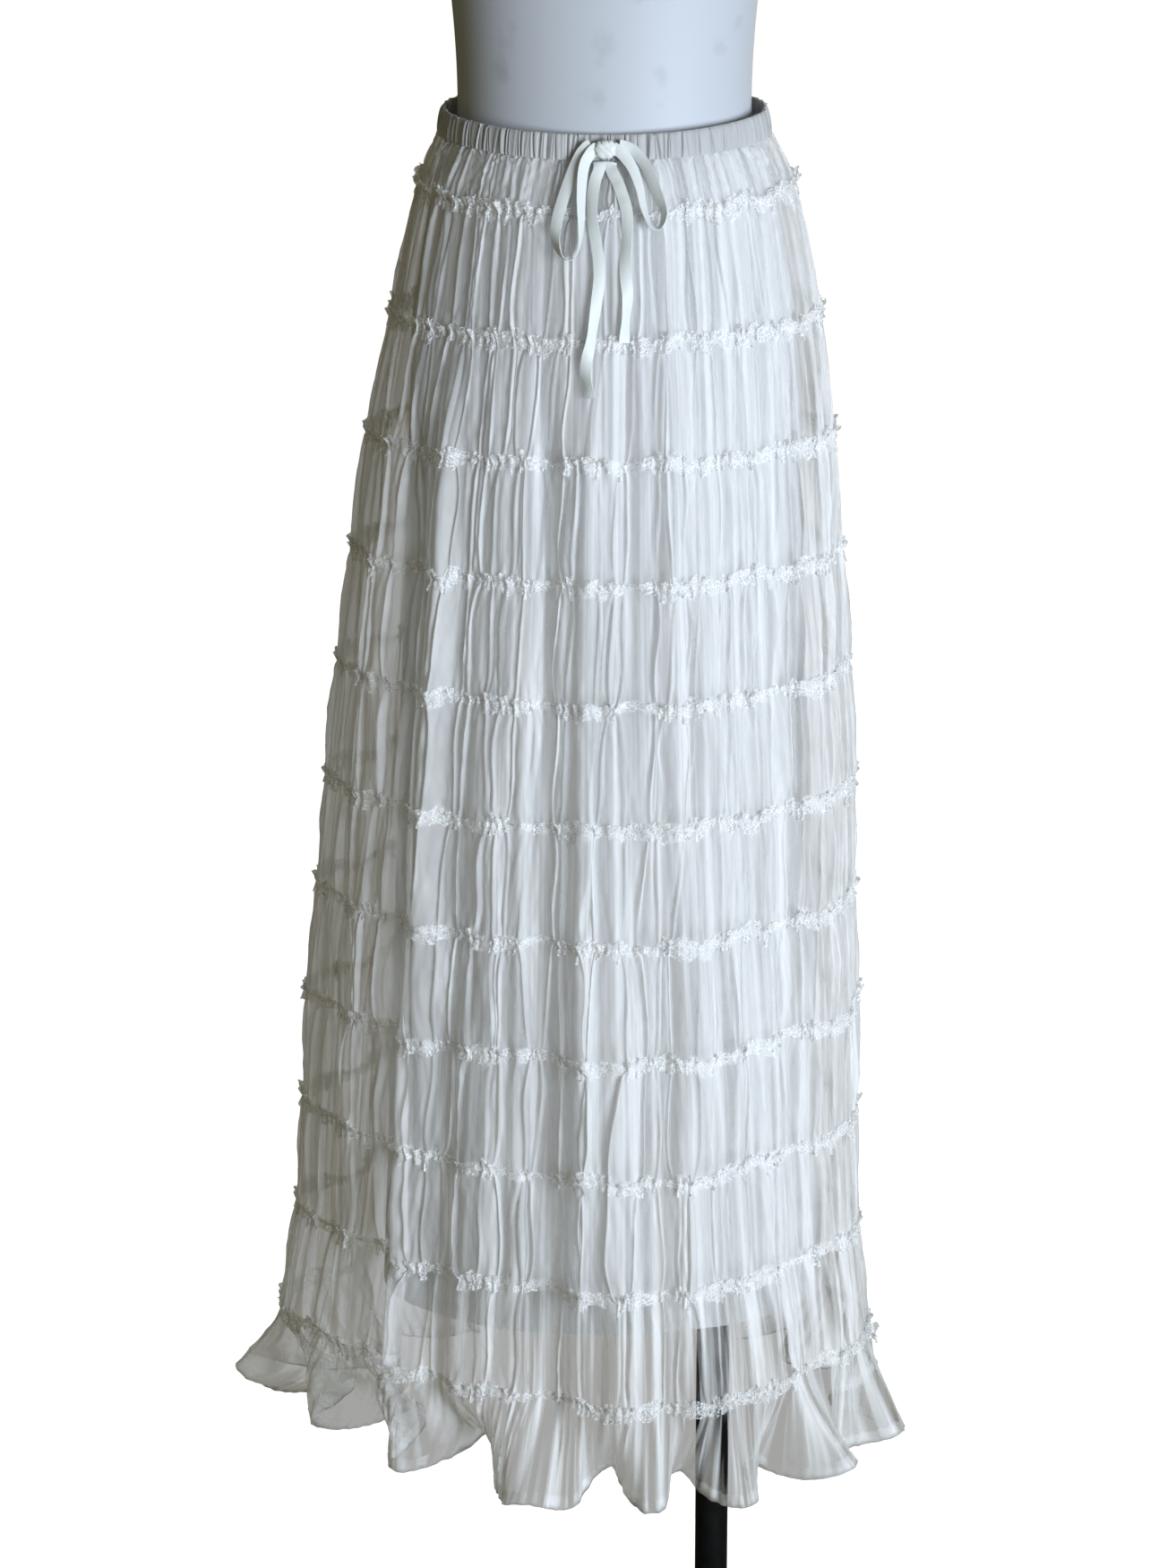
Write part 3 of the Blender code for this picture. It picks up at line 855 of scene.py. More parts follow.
@dataclass(frozen=True)
class SheerChiffon:
    """Sheer crepe chiffon, crinkled in fine streaks from seam to seam.

    The spans are the grains' values over which the cloth changes, and each drawn-out factor is how much slower the
    grain changes down the skirt than round it.
    """

    name: str = "sheer_chiffon"
    pale: Triple = (0.98, 0.975, 0.975)
    dull: Triple = (0.90, 0.895, 0.895)
    roughness: float = 0.62
    sheen: float = 0.3
    sheen_roughness: float = 0.4
    specular: float = 0.35
    see_through: float = 0.56
    edge_share: float = 0.55
    streaked: float = 0.38
    streak_scale: float = 135.0
    streak_detail: float = 2.0
    streak_relief: float = 0.5
    streak_height: float = 0.0011
    streak_span: tuple[float, float] = (0.36, 0.64)
    fray: float = 0.0
    fray_span: tuple[float, float] = (0.40, 0.60)
    glow: float = 0.27
    typical_reach: float = 0.17
    slubs_drawn_out: float = 0.06
    streaks_drawn_out: float = 0.03
    slubs: Grain = Grain(900.0, 3.0)
    crepe: Grain = Grain(1500.0, 2.0, 0.2, 0.0003, (1.0, 1.0, 0.5))
    loose_threads: Grain = Grain(620.0, 2.0)

    def material(self) -> bpy.types.Material:
        """The finish as a material."""
        sheet = NodeSheet(self.name)
        slubs = sheet.noise(self.slubs, sheet.place_round(self.typical_reach, self.slubs_drawn_out))
        colour = sheet.between(slubs, self.dull, self.pale)
        streak = Grain(self.streak_scale, self.streak_detail, self.streak_relief, self.streak_height)
        streaks = sheet.noise(streak, sheet.place_round(self.typical_reach, self.streaks_drawn_out))
        normal = sheet.bump(streaks, streak, sheet.bump(sheet.noise(self.crepe), self.crepe))
        surface = {
            "Base Color": colour,
            "Normal": normal,
            "Roughness": self.roughness,
            "Sheen Weight": self.sheen,
            "Sheen Roughness": self.sheen_roughness,
            "Specular IOR Level": self.specular,
        }
        cloth = sheet.add("BsdfPrincipled", surface).outputs[0]
        light = sheet.add("BsdfTranslucent", {"Color": colour, "Normal": normal}).outputs[0]
        clear = sheet.add("BsdfTransparent").outputs[0]
        return sheet.shown(sheet.mixed(self.passing(sheet, streaks), sheet.mixed(self.glow, cloth, light), clear))

    def passing(self, sheet: NodeSheet, streaks: Socket) -> Socket:
        """How much passes straight through: less at a slant, where the cloth doubles, and between frayed threads.

        Args:
            sheet: The node sheet.
            streaks: The streaks' value.

        Returns:
            The share that passes.
        """
        edge_on = sheet.add("LayerWeight", {"Blend": 0.5}).outputs["Facing"]
        single = sheet.ranged(edge_on, self.see_through, self.see_through * self.edge_share)
        doubled = sheet.ranged(streaks, 1.0 + self.streaked, 1.0 - self.streaked, self.streak_span)
        passing = sheet.times(single, doubled)
        if self.fray:
            threads = sheet.noise(self.loose_threads)
            passing = sheet.times(passing, sheet.ranged(threads, 1.0 - self.fray, 1.0 + self.fray, self.fray_span))
        return passing


TIER_CHIFFON = SheerChiffon()
LOWEST_CHIFFON = SheerChiffon(name="lowest_chiffon", see_through=0.66, streaked=0.6)
LOOSE_CHIFFON = SheerChiffon(
    name="loose_chiffon",
    pale=(0.97, 0.97, 0.97),
    dull=(0.92, 0.92, 0.92),
    see_through=0.70,
    streaked=0.8,
    streak_relief=0.9,
    glow=0.36,
)
FRILL_CHIFFON = SheerChiffon(
    name="frill_chiffon",
    pale=(0.98, 0.98, 0.98),
    dull=(0.95, 0.95, 0.95),
    sheen=0.6,
    see_through=0.55,
    streaked=0.0,
    streak_relief=0.0,
    fray=0.75,
    glow=0.42,
)
# The casing is the tiers' white chiffon coloured mid-grey, about half as bright: painted shade of its puckers.
CASING_CHIFFON_PAINTED_SHADE = SheerChiffon(
    name="casing_chiffon_painted_shade",
    pale=(0.50, 0.50, 0.505),
    dull=(0.44, 0.44, 0.445),
    see_through=0.04,
    glow=0.12,
    streak_relief=0.3,
)


@dataclass(frozen=True)
class PlainLining:
    """Opaque matt lining cloth with a fine plain weave, light grey: partly its own off-white tone, partly painted
    shade of the sheer tiers over it.
    """

    name: str = "lining_partly_painted_shade"
    # Grey rather than white: partly the lining's own tone, partly painted shade of the tiers that hang over it.
    colour: Triple = (0.74, 0.74, 0.74)
    shade: Triple = (0.70, 0.70, 0.70)
    roughness: float = 0.85
    sheen: float = 0.1
    glow: float = 0.5
    weave: Grain = Grain(1800.0, 1.0, 0.3, 0.0002)

    def material(self) -> bpy.types.Material:
        """The finish as a material."""
        sheet = NodeSheet(self.name)
        weave = sheet.noise(self.weave)
        colour = sheet.between(weave, self.shade, self.colour)
        surface = {"Base Color": colour, "Normal": sheet.bump(weave, self.weave), "Roughness": self.roughness}
        cloth = sheet.add("BsdfPrincipled", {**surface, "Sheen Weight": self.sheen}).outputs[0]
        light = sheet.add("BsdfTranslucent", {"Color": colour}).outputs[0]
        return sheet.shown(sheet.mixed(self.glow, cloth, light))


@dataclass(frozen=True)
class SatinRibbon:
    """White satin ribbon with a soft gloss."""

    name: str = "satin_ribbon"
    colour: Triple = (0.66, 0.68, 0.665)
    shade: Triple = (0.60, 0.625, 0.61)
    roughness: float = 0.48
    sheen: float = 0.15
    specular: float = 0.35
    threads: Grain = Grain(2600.0, 2.0, 0.2, 0.0001, (1.0, 1.0, 0.05))

    def material(self) -> bpy.types.Material:
        """The finish as a material."""
        sheet = NodeSheet(self.name)
        threads = sheet.noise(self.threads)
        surface = {
            "Base Color": sheet.between(threads, self.shade, self.colour),
            "Normal": sheet.bump(threads, self.threads),
            "Roughness": self.roughness,
            "Sheen Weight": self.sheen,
            "Specular IOR Level": self.specular,
        }
        return sheet.shown(sheet.add("BsdfPrincipled", surface).outputs[0])


@dataclass(frozen=True)
class FormShell:
    """The form's smooth matt shell, pale blue-grey, with faint grey stains and fine scuffs."""

    name: str = "form_shell_matt"
    pale: Triple = (0.455, 0.475, 0.515)
    stain: Triple = (0.385, 0.40, 0.435)
    stain_span: tuple[float, float] = (0.26, 0.40)
    roughness: tuple[float, float] = (0.42, 0.62)
    specular: float = 0.35
    blotches: Grain = Grain(26.0, 4.0)
    scuffs: Grain = Grain(420.0, 4.0, 0.12, 0.0002)

    def material(self) -> bpy.types.Material:
        """The finish as a material."""
        sheet = NodeSheet(self.name)
        scuffs = sheet.noise(self.scuffs)
        surface = {
            "Base Color": sheet.between(sheet.noise(self.blotches), self.stain, self.pale, self.stain_span),
            "Normal": sheet.bump(scuffs, self.scuffs),
            "Roughness": sheet.ranged(scuffs, *self.roughness),
            "Specular IOR Level": self.specular,
        }
        return sheet.shown(sheet.add("BsdfPrincipled", surface).outputs[0])


@dataclass(frozen=True)
class BlackSteel:
    """Black powder-coated steel: a fine orange-peel and a satin gloss."""

    name: str = "black_powder_coat"
    colour: Triple = (0.003, 0.003, 0.003)
    dusty: Triple = (0.006, 0.006, 0.006)
    roughness: float = 0.5
    specular: float = 0.1
    dust: Grain = Grain(60.0, 4.0)
    peel: Grain = Grain(900.0, 1.0, 0.15, 0.0002)

    def material(self) -> bpy.types.Material:
        """The finish as a material."""
        sheet = NodeSheet(self.name)
        surface = {
            "Base Color": sheet.between(sheet.noise(self.dust), self.colour, self.dusty),
            "Normal": sheet.bump(sheet.noise(self.peel), self.peel),
            "Roughness": self.roughness,
            "Specular IOR Level": self.specular,
        }
        return sheet.shown(sheet.add("BsdfPrincipled", surface).outputs[0])


# ---------------------------------------------------------------------------------------------------------------
# The skirt's pieces
# ---------------------------------------------------------------------------------------------------------------


def dress_piece(piece: bpy.types.Object, node: str) -> bpy.types.Object:
    """Seats a piece in the frame.

    Args:
        piece: The new piece, in place.
        node: The solid that it stands for.

    Returns:
        The same piece.
    """
    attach(piece, BODY)
    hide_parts(node)
    LOG.info("%s: %d faces, stands for %s", piece.name, len(piece.data.polygons), node)
    return piece


@dataclass
class FoldPlan:
    """Every fold of the gathered cloth: crisp ridges where it doubles, and the slack faces between them.

    Ridges and faces are counted round the skirt from the back, and their places are cloth coordinates. They follow on
    from tier to tier, and the ridges that meet at a seam are drawn together there in twos and threes. A ridge fades
    towards the seam below it, or towards the one above, and each face turns a little to one side. The lasting ridges
    run down all the tiers from a given one and mark the edge between the lit front and the shaded side.
    """

    shape: SkirtShape
    seed: int = 7
    ridges: int = 76
    ridge_points: int = 8
    face_points: int = 9
    jitter: float = 0.42
    pinch: float = 0.42
    pinches: int = 28
    pinch_regular: float = 0.75
    pinch_loose: float = 0.4
    kept: float = 0.5
    liveliness: float = 1.9
    height: tuple[float, float] = (0.4 * MM, 4.8 * MM)
    half_width: tuple[float, float] = (1.4 * MM, 3.4 * MM)
    steepest: float = 1.5
    most_of_gap: float = 0.42
    seam_height: float = 1.0 * MM
    seam_half_width: float = 1.2 * MM
    crispness: tuple[float, float] = (-0.10, 0.24)
    face_turn: float = 0.45
    face_puff: tuple[float, float] = (-0.4 * MM, 1.5 * MM)
    drift: float = 1.6 * MM
    calm_at_waist: float = 0.6
    calm_tiers: int = 4
    fading: float = 0.9
    fade_starts: float = 0.35
    fade_takes: float = 0.5
    opens: float = 0.4
    lasting: tuple[int, ...] = (29, 30, 31)
    lasting_from: int = 3
    lasting_height: float = 3.2 * MM
    lasting_fades: float = 0.4
    below: Array = field(init=False)
    at_seam: Array = field(init=False)
    heights: Array = field(init=False)
    half_widths: Array = field(init=False)
    crisp: Array = field(init=False)
    turns: Array = field(init=False)
    puffs: Array = field(init=False)
    fades: Array = field(init=False)
    drifts: Array = field(init=False)

    def __post_init__(self) -> None:
        """Draws the folds of the yoke, the tiers and the flounce's top."""
        rng = np.random.default_rng(self.seed)
        tiers = self.shape.tiers + 2
        grid = np.arange(self.ridges)
        self.below = (grid + self.jitter * self.follow_on(rng, tiers)) / self.ridges
        pulled = self.pinch_regular * np.sin(TAU * (grid * self.pinches / self.ridges + rng.random((tiers, 1))))
        pulled = self.pinch * (pulled + self.pinch_loose * rng.uniform(-1, 1, (tiers, self.ridges)))
        above = np.concatenate([self.below[:1], self.below[:-1]])
        self.at_seam = (above + self.below) / 2 + pulled / self.ridges
        calmer = mix(self.calm_at_waist, 1.0, np.minimum(np.arange(tiers) / self.calm_tiers, 1))[:, None]
        self.heights = self.spread(self.height, self.follow_on(rng, tiers)) * calmer
        self.half_widths = self.spread(self.half_width, self.follow_on(rng, tiers))
        self.crisp = self.spread(self.crispness, self.follow_on(rng, tiers))
        self.turns = self.face_turn * self.follow_on(rng, tiers)
        self.puffs = self.spread(self.face_puff, self.follow_on(rng, tiers))
        self.fades = self.fading * self.follow_on(rng, tiers)
        self.drifts = self.drift * self.follow_on(rng, tiers)
        for ridge in self.lasting:
            tall = self.heights[self.lasting_from :, ridge]
            self.heights[self.lasting_from :, ridge] = np.maximum(tall, self.lasting_height)
            self.fades[self.lasting_from :, ridge] *= self.lasting_fades

    def follow_on(self, rng: np.random.Generator, rows: int) -> Array:
        """Draws from -1 to 1 for each ridge, each tier's partly like those of the one above.

        Args:
            rng: The seeded source.
            rows: How many tiers.

        Returns:
            An array (tiers, ridges).
        """
        drawn = [rng.uniform(-1, 1, self.ridges)]
        for _ in range(rows - 1):
            fresh = rng.uniform(-1, 1, self.ridges)
            drawn.append(np.clip(self.kept * drawn[-1] + (1 - self.kept) * self.liveliness * fresh, -1, 1))
        return np.array(drawn)

    def spread(self, limits: tuple[float, float], drawn: Array) -> Array:
        """Draws from -1 to 1 as values between two limits."""
        return mix(limits[0], limits[1], 0.5 + 0.5 * drawn)

    def shown(self, tier: int, share: float) -> Array:
        """How much of each ridge of a tier is left at a share of the way down it."""
        fade = self.fades[tier]
        to_foot = soft_step((share - self.fade_starts) / self.fade_takes)
        to_head = soft_step((1 - self.fade_starts - share) / self.fade_takes)
        return 1 - np.maximum(fade, 0) * to_foot - np.maximum(-fade, 0) * to_head

    def section(self, tier: int, share: float, length: float) -> tuple[Array, Array, Array]:
        """The folds across one level of a tier, with the same number of points on each fold.

        Args:
            tier: The tier, 0 for the yoke.
            share: How far down the tier the level is.
            length: The length of the round there, in metres.

        Returns:
            The points' cloth coordinates, how far they stand out and how far they lie aside, in metres.
        """
        full = swell(share, self.opens)
        seam = tier if share < 0.5 else tier + 1
        centre = mix(self.at_seam[seam], self.below[tier], full)
        centre = centre + self.drifts[tier] / length * math.sin(TAU * share) * full
        ahead = np.append(centre[1:], centre[0] + 1) - centre
        room = np.minimum(ahead, np.roll(ahead, 1)) * length * self.most_of_gap
        half = np.minimum(mix(self.seam_half_width, self.half_widths[tier], full), room)
        shown = self.shown(tier, share)
        tall = mix(self.seam_height, np.minimum(self.heights[tier] * shown, self.steepest * half), full)
        face = ahead * length - half - np.roll(half, -1)
        tilted = self.turns[tier] * face * full / 2
        puff = self.puffs[tier] * full
        across = np.linspace(-1, 1, self.ridge_points)
        foot = mix(np.roll(tilted, 1)[:, None], -tilted[:, None], soft_step(0.5 + 0.5 * across))
        ridge_stand = foot + tall[:, None] * (1 - across**2) ** 2
        ridge_along = half[:, None] * across
        ridge_aside = -(self.crisp[tier] * shown * half)[:, None] * np.sin(np.pi * across) * full
        way = np.arange(1, self.face_points + 1) / (self.face_points + 1)
        face_stand = tilted[:, None] * (2 * way - 1) + 4 * puff[:, None] * way * (1 - way)
        face_along = half[:, None] + face[:, None] * way
        stand = np.concatenate([ridge_stand, face_stand], axis=1)
        cloth = centre[:, None] + np.concatenate([ridge_along, face_along], axis=1) / length
        aside = np.concatenate([ridge_aside, np.zeros_like(face_stand)], axis=1)
        return cloth.ravel(), stand.ravel(), aside.ravel()


@dataclass
class Gathers:
    """The small gathers that fan out from each seam, the sway of the cloth and the lines of the seams.

    Each of the sizes of gathers is a width, the length over which it fades and a depth. The streaks and the sway are
    weaker at the waist and grow by a step from tier to tier.
    """

    seed: int = 21
    keys_to_seed: int = 1000
    keys_to_seam: int = 10
    sizes: tuple[Triple, ...] = ((5.0 * MM, 9 * MM, 0.85 * MM), (9.5 * MM, 24 * MM, 0.9 * MM))
    fine_waves: int = 9
    streak: float = 0.45 * MM
    streak_size: float = 7.0 * MM
    streaks_at_waist: float = 0.4
    sway: float = 1.2 * MM
    sways: int = 17
    sway_at_waist: float = 0.3
    sway_parts: tuple[float, float] = (0.6, 0.5)
    grows: float = 0.1
    wander: float = 1.9 * MM
    wanders: tuple[int, int] = (15, 90)
    fine_wander: float = 0.3
    stands: float = 0.3 * MM

    def noise(self, cloth: Array, key: int, cycles: float, waves: int = 7) -> Array:
        """Noise round the skirt that is the same each time for the same key."""
        rng = np.random.default_rng(self.seed * self.keys_to_seed + key)
        return ring_noise(cloth, rng, cycles, waves)

    def near_seam(self, cloth: Array, seam: int, away: float, length: float) -> Array:
        """How far the gathers from one seam stand out.

        Args:
            cloth: Cloth coordinates.
            seam: The seam, 0 at the waistband.
            away: The distance from it down or up the cloth, in metres.
            length: The length of the round, in metres.

        Returns:
            Metres out.
        """
        total = np.zeros_like(cloth)
        for order, (size, fades, deep) in enumerate(self.sizes):
            key = NoiseKey.GATHERS + self.keys_to_seam * seam + order
            total += deep * math.exp(-away / fades) * self.noise(cloth, key, length / size, self.fine_waves)
        return total

    def streaks(self, cloth: Array, tier: int, length: float) -> Array:
        """How far the fine streaks stand out that run down a tier from seam to seam."""
        strength = self.streak * min(1.0, self.streaks_at_waist + self.grows * tier)
        return strength * self.noise(cloth, NoiseKey.STREAKS + tier, length / self.streak_size, self.fine_waves)

    def sway_at(self, cloth: Array, seam: int) -> Array:
        """How far the cloth stands out in slow waves at a seam, which are partly the same at every seam."""
        strength = self.sway * min(1.0, self.sway_at_waist + self.grows * seam)
        slow = self.noise(cloth, NoiseKey.SLOW_SWAY, self.sways)
        own = self.noise(cloth, NoiseKey.OWN_SWAY + seam, self.sways)
        return strength * (self.sway_parts[0] * slow + self.sway_parts[1] * own)

    def lift(self, cloth: Array, seam: int) -> Array:
        """How much higher than its level a seam runs, in metres."""
        if seam == 0:
            return np.zeros_like(cloth)
        wide = self.noise(cloth, NoiseKey.WANDER + seam, self.wanders[0])
        fine = self.noise(cloth, NoiseKey.FINE_WANDER + seam, self.wanders[1])
        return self.wander * (wide + self.fine_wander * fine)


@dataclass
class GatheredTiers:
    """The yoke and the ten gathered tiers."""

    shape: SkirtShape
    plan: FoldPlan
    gathers: Gathers
    material: bpy.types.Material
    lowest_material: bpy.types.Material
    down: int = 16
    closer_at_seams: float = 0.6
    belly: float = 0.9 * MM
    belly_opens: float = 0.6
    fullness: float = 1.38
    allowance: float = 0.004

    def level(self, tier: int, share: float) -> Array:
        """The closed round of points at one level of a tier.

        Args:
            tier: The tier, 0 for the yoke.
            share: How far down it the level is.

        Returns:
            An array (points, 3).
        """
        top, bottom = self.shape.seam_drop(tier), self.shape.seam_drop(tier + 1)
        drop = mix(top, bottom, share)
        length = self.shape.round_length(drop)
        cloth, stand, aside = self.plan.section(tier, share, length)
        azimuth = self.shape.azimuths_along(drop, cloth)
        base = self.shape.level_round(azimuth, drop)
        out, along = outward(base)
        stand = stand + self.gathers.stands + self.belly * swell(share, self.belly_opens)
        stand += self.gathers.near_seam(cloth, tier, drop - top, length)
        stand += self.gathers.near_seam(cloth, tier + 1, bottom - drop, length)
        stand += self.gathers.streaks(cloth, tier, length)
        stand += mix(self.gathers.sway_at(cloth, tier), self.gathers.sway_at(cloth, tier + 1), share)
        stand += self.shape.crease_reach(azimuth, drop)
        points = base + out * stand[:, None] + along * aside[:, None]
        points[:, 2] += mix(self.gathers.lift(cloth, tier), self.gathers.lift(cloth, tier + 1), share)
        return points

    def seam_line(self, seam: int) -> Array:
        """The round of points along a seam."""
        if seam > self.shape.tiers:
            return self.level(seam - 1, 1.0)
        return self.level(seam, 0.0)

    def build(self) -> list[bpy.types.Object]:
        """Makes the yoke and the tiers.

        Returns:
            The pieces from the top down.
        """
        steps = np.arange(self.down + 1) / self.down
        shares = mix(steps, eased(steps), self.closer_at_seams)
        pieces = []
        for tier in range(self.shape.tiers + 1):
            node = f"tier_{tier:02d}" if tier else "yoke"
            rows = [self.level(tier, float(share)) for share in shares]
            material = self.lowest_material if tier == self.shape.tiers else self.material
            piece = round_grids(f"{node}_cloth", [np.array(rows)], material)
            dress_piece(piece, node)
            drop = self.shape.seam_drop(tier + 1)
            width = self.shape.round_length(drop) * self.fullness
            height = drop - self.shape.seam_drop(tier) + 2 * self.allowance
            pieces.append(piece)
        return pieces


@dataclass
class SeamFrills:
    """The crumpled raw-edged frill along each seam: flaps that turn up, out and down.

    A lean is 1 for a flap that rises or -1 for one that hangs, and its tilt off the cloth in degrees. Each
    unevenness is its strength and how many waves of it go into a round.
    """

    shape: SkirtShape
    tiers: GatheredTiers
    material: bpy.types.Material
    seed: int = 900
    around: int = 1600
    flap_rows: int = 3
    height: float = 9.0 * MM
    least_size: float = 0.50
    more_on_ridges: float = 0.42
    root_stands: float = 0.3 * MM
    curl: float = 1.1 * MM
    curl_stands: float = 0.45
    aside: tuple[float, float] = (1.3 * MM, 0.9 * MM)
    loop_length: float = 6.2 * MM
    leans: tuple[tuple[int, float], ...] = ((1, 4), (1, 17), (-1, 9))
    uneven_loops: tuple[float, int] = (2.4, 45)
    uneven_height: tuple[float, int] = (0.4, 60)
    mean_height: float = 0.8
    height_limits: tuple[float, float] = (0.3, 1.4)
    uneven_tilt: tuple[float, int] = (7, 75)
    crumple: tuple[float, int] = (0.7 * MM, 150)
    fullness: float = 1.3
    pressed_width: float = 8.0 * MM
    pressed: float = 0.75
    smoothing: tuple[int, int, int] = (14, 60, 6)
    ridge_middle: float = 0.62
    ridge_stands: float = 3.2 * MM

    def root(self, seam: int) -> tuple[Array, Array, Array, Array]:
        """The line that a frill is sewn along.

        Args:
            seam: The seam.

        Returns:
            Its points, the directions out and along, and how much each point is on a ridge, from 0 to 1.
        """
        line = self.tiers.seam_line(seam)
        count = len(line)
        at = np.arange(self.around) * count / self.around
        closed = np.vstack([line, line[:1]])
        points = np.stack([np.interp(at, np.arange(count + 1), closed[:, axis]) for axis in range(3)], axis=1)
        smooth, wide = (around_mean(points, reach) for reach in self.smoothing[:2])
        out, along = outward(smooth)
        proud = np.einsum("ij,ij->i", smooth - wide, out)
        ridge = np.clip(self.ridge_middle + proud / self.ridge_stands, 0.0, 1.0)
        return points, out, along, around_mean(ridge, self.smoothing[2])

    def under_ribbons(self, seam: int, points: Array) -> Array:
        """How much of its size a frill keeps at each point; the bow's ribbons press it flat."""
        kept = np.ones(len(points))
        for crossed, across in RIBBONS_OVER_FRILLS:
            if crossed == seam:
                off = (points[:, 0] - self.shape.waist_x - across * MM) / self.pressed_width
                kept = np.where(points[:, 1] < 0, kept * (1 - self.pressed * np.exp(-(off**2))), kept)
        return kept

    def flap(self, seam: int, order: int) -> Array:
        """One flap of a frill.

        Args:
            seam: The seam that it is sewn into.
            order: Which of the leans it has.

        Returns:
            Rounds of points from the seam to the flap's edge.
        """
        sign, lean = self.leans[order]
        rng = np.random.default_rng(self.seed + len(self.leans) * seam + order)
        points, out, along, ridge = self.root(seam)
        cloth = np.arange(self.around) / self.around

        def uneven(setting: tuple[float, int], waves: int = 7) -> Array:
            """The next unevenness round the frill."""
            return setting[0] * ring_noise(cloth, rng, setting[1], waves)

        loops = round(self.shape.round_length(self.shape.seam_drop(seam)) / self.loop_length)
        phase = TAU * (loops * cloth + rng.random()) + uneven(self.uneven_loops)
        size = (self.least_size + self.more_on_ridges * ridge) * self.under_ribbons(seam, points)
        tall = self.height * size * np.clip(self.mean_height + uneven(self.uneven_height), *self.height_limits)
        tilt = np.radians(lean + uneven(self.uneven_tilt))
        wave = self.curl * np.sin(phase) + uneven(self.crumple, 9)
        stands = self.curl * self.curl_stands + wave * np.cos(tilt)
        shifts = self.aside[0] * np.sin(2 * phase) + self.aside[1] * np.cos(phase)
        rows = []
        for share in np.arange(self.flap_rows + 1) / self.flap_rows:
            loose = share * size
            stand = self.root_stands + tall * share * np.sin(tilt) + loose * stands
            rise = tall * share * np.cos(tilt) - loose * wave * np.sin(tilt)
            row = points + out * stand[:, None] + along * (loose * shifts)[:, None]
            row[:, 2] += sign * rise
            rows.append(row)
        return np.array(rows)

    def build(self) -> list[bpy.types.Object]:
        """Makes the frills.

        Returns:
            The pieces from the top down.
        """
        pieces = []
        for seam in range(1, self.shape.tiers + 2):
            flaps = [self.flap(seam, order) for order in range(len(self.leans))]
            piece = round_grids(f"frill_{seam:02d}_cloth", flaps, self.material)
            dress_piece(piece, f"frill_{seam:02d}")
            width = self.shape.round_length(self.shape.seam_drop(seam)) * self.fullness
            pieces.append(piece)
        return pieces


@dataclass
class HemFlounce:
    """The fluted flounce at the hem, with its narrow turned hem.

    Its top has the folds of a tier's upper part. The fold shares say how far down the tier they begin, how fast they
    follow it down, and where they stay.
    """

    shape: SkirtShape
    plan: FoldPlan
    gathers: Gathers
    material: bpy.types.Material
    down: int = 22
    fold_shares: Triple = (0.04, 0.8, 0.49)
    folds_fade: float = 0.8
    fans_out: float = 0.9
    soft_folds: int = 46
    soft_fold: float = 1.5 * MM
    soft_folds_grow: float = 1.6
    gather_fades: float = 0.3
    top_streaks: float = 4.6
    hem_streaks: float = 1.9
    hem: float = 0.010
    hem_gap: float = 0.7 * MM
    hem_step: float = 0.6 * MM
    hem_line: float = 0.006
    hem_rows: int = 5
    hem_round: float = 0.6

    def surface(self, share: float) -> tuple[Array, Array]:
        """One level of the flounce.

        Args:
            share: How far down its cloth the level is.

        Returns:
            The level's points and the directions out.
        """
        seam = self.shape.tiers + 1
        seam_drop = self.shape.seam_drop(seam)
        length = self.shape.round_length(seam_drop)
        first, growing, last = self.fold_shares
        fold_share = 0.0 if share <= 0 else min(last, first + growing * share)
        cloth, fold, _ = self.plan.section(seam, fold_share, length)
        starts = self.shape.azimuths_along(seam_drop, cloth)
        azimuth = mix(starts, self.shape.hem_azimuths(cloth), share**self.fans_out)
        reach = self.shape.flounce_reach(azimuth, share)
        drop = self.shape.flounce_drop(azimuth, share)
        base = self.shape.points(azimuth, reach, self.shape.height(azimuth, drop))
        out, _ = outward(base)
        waves = self.gathers.noise(cloth, NoiseKey.FLOUNCE_WAVES, self.soft_folds) * self.soft_fold
        gather = self.gathers.near_seam(cloth, seam, share * self.shape.flounce_depth * self.gather_fades, length)
        gather += self.gathers.streaks(cloth, seam, length) * mix(self.top_streaks, self.hem_streaks, share)
        stand = fold * (1 - share) ** self.folds_fade + waves * soft_step(share * self.soft_folds_grow) + gather
        stand += (self.gathers.stands + self.gathers.sway_at(cloth, seam)) * (1 - share)
        stand += self.shape.crease_reach(starts, seam_drop) * (1 - share)
        points = base + out * stand[:, None]
        points[:, 2] += self.gathers.lift(cloth, seam) * (1 - share)
        return points, out

    def build(self) -> bpy.types.Object:
        """Makes the flounce.

        Returns:
            The piece.
        """
        hem_share = self.hem / self.shape.flounce_depth
        above_hem = np.linspace(0, 1 - hem_share, self.down - 2)
        rows = [self.surface(float(share))[0] for share in above_hem]
        for share in (above_hem[-1] + self.hem_line, 1 - hem_share / 2, 1.0):
            points, out = self.surface(share)
            rows.append(points + out * self.hem_step)
        for up in np.arange(1, self.hem_rows + 1) / self.hem_rows:
            points, out = self.surface(1 - hem_share * up)
            inside = self.hem_gap * math.sin(math.pi / 2 * min(up / self.hem_round, 1.0))
            rows.append(points - out * inside)
        piece = round_grids("hem_flounce_cloth", [np.array(rows)], self.material)
        dress_piece(piece, "hem_flounce")
        return piece


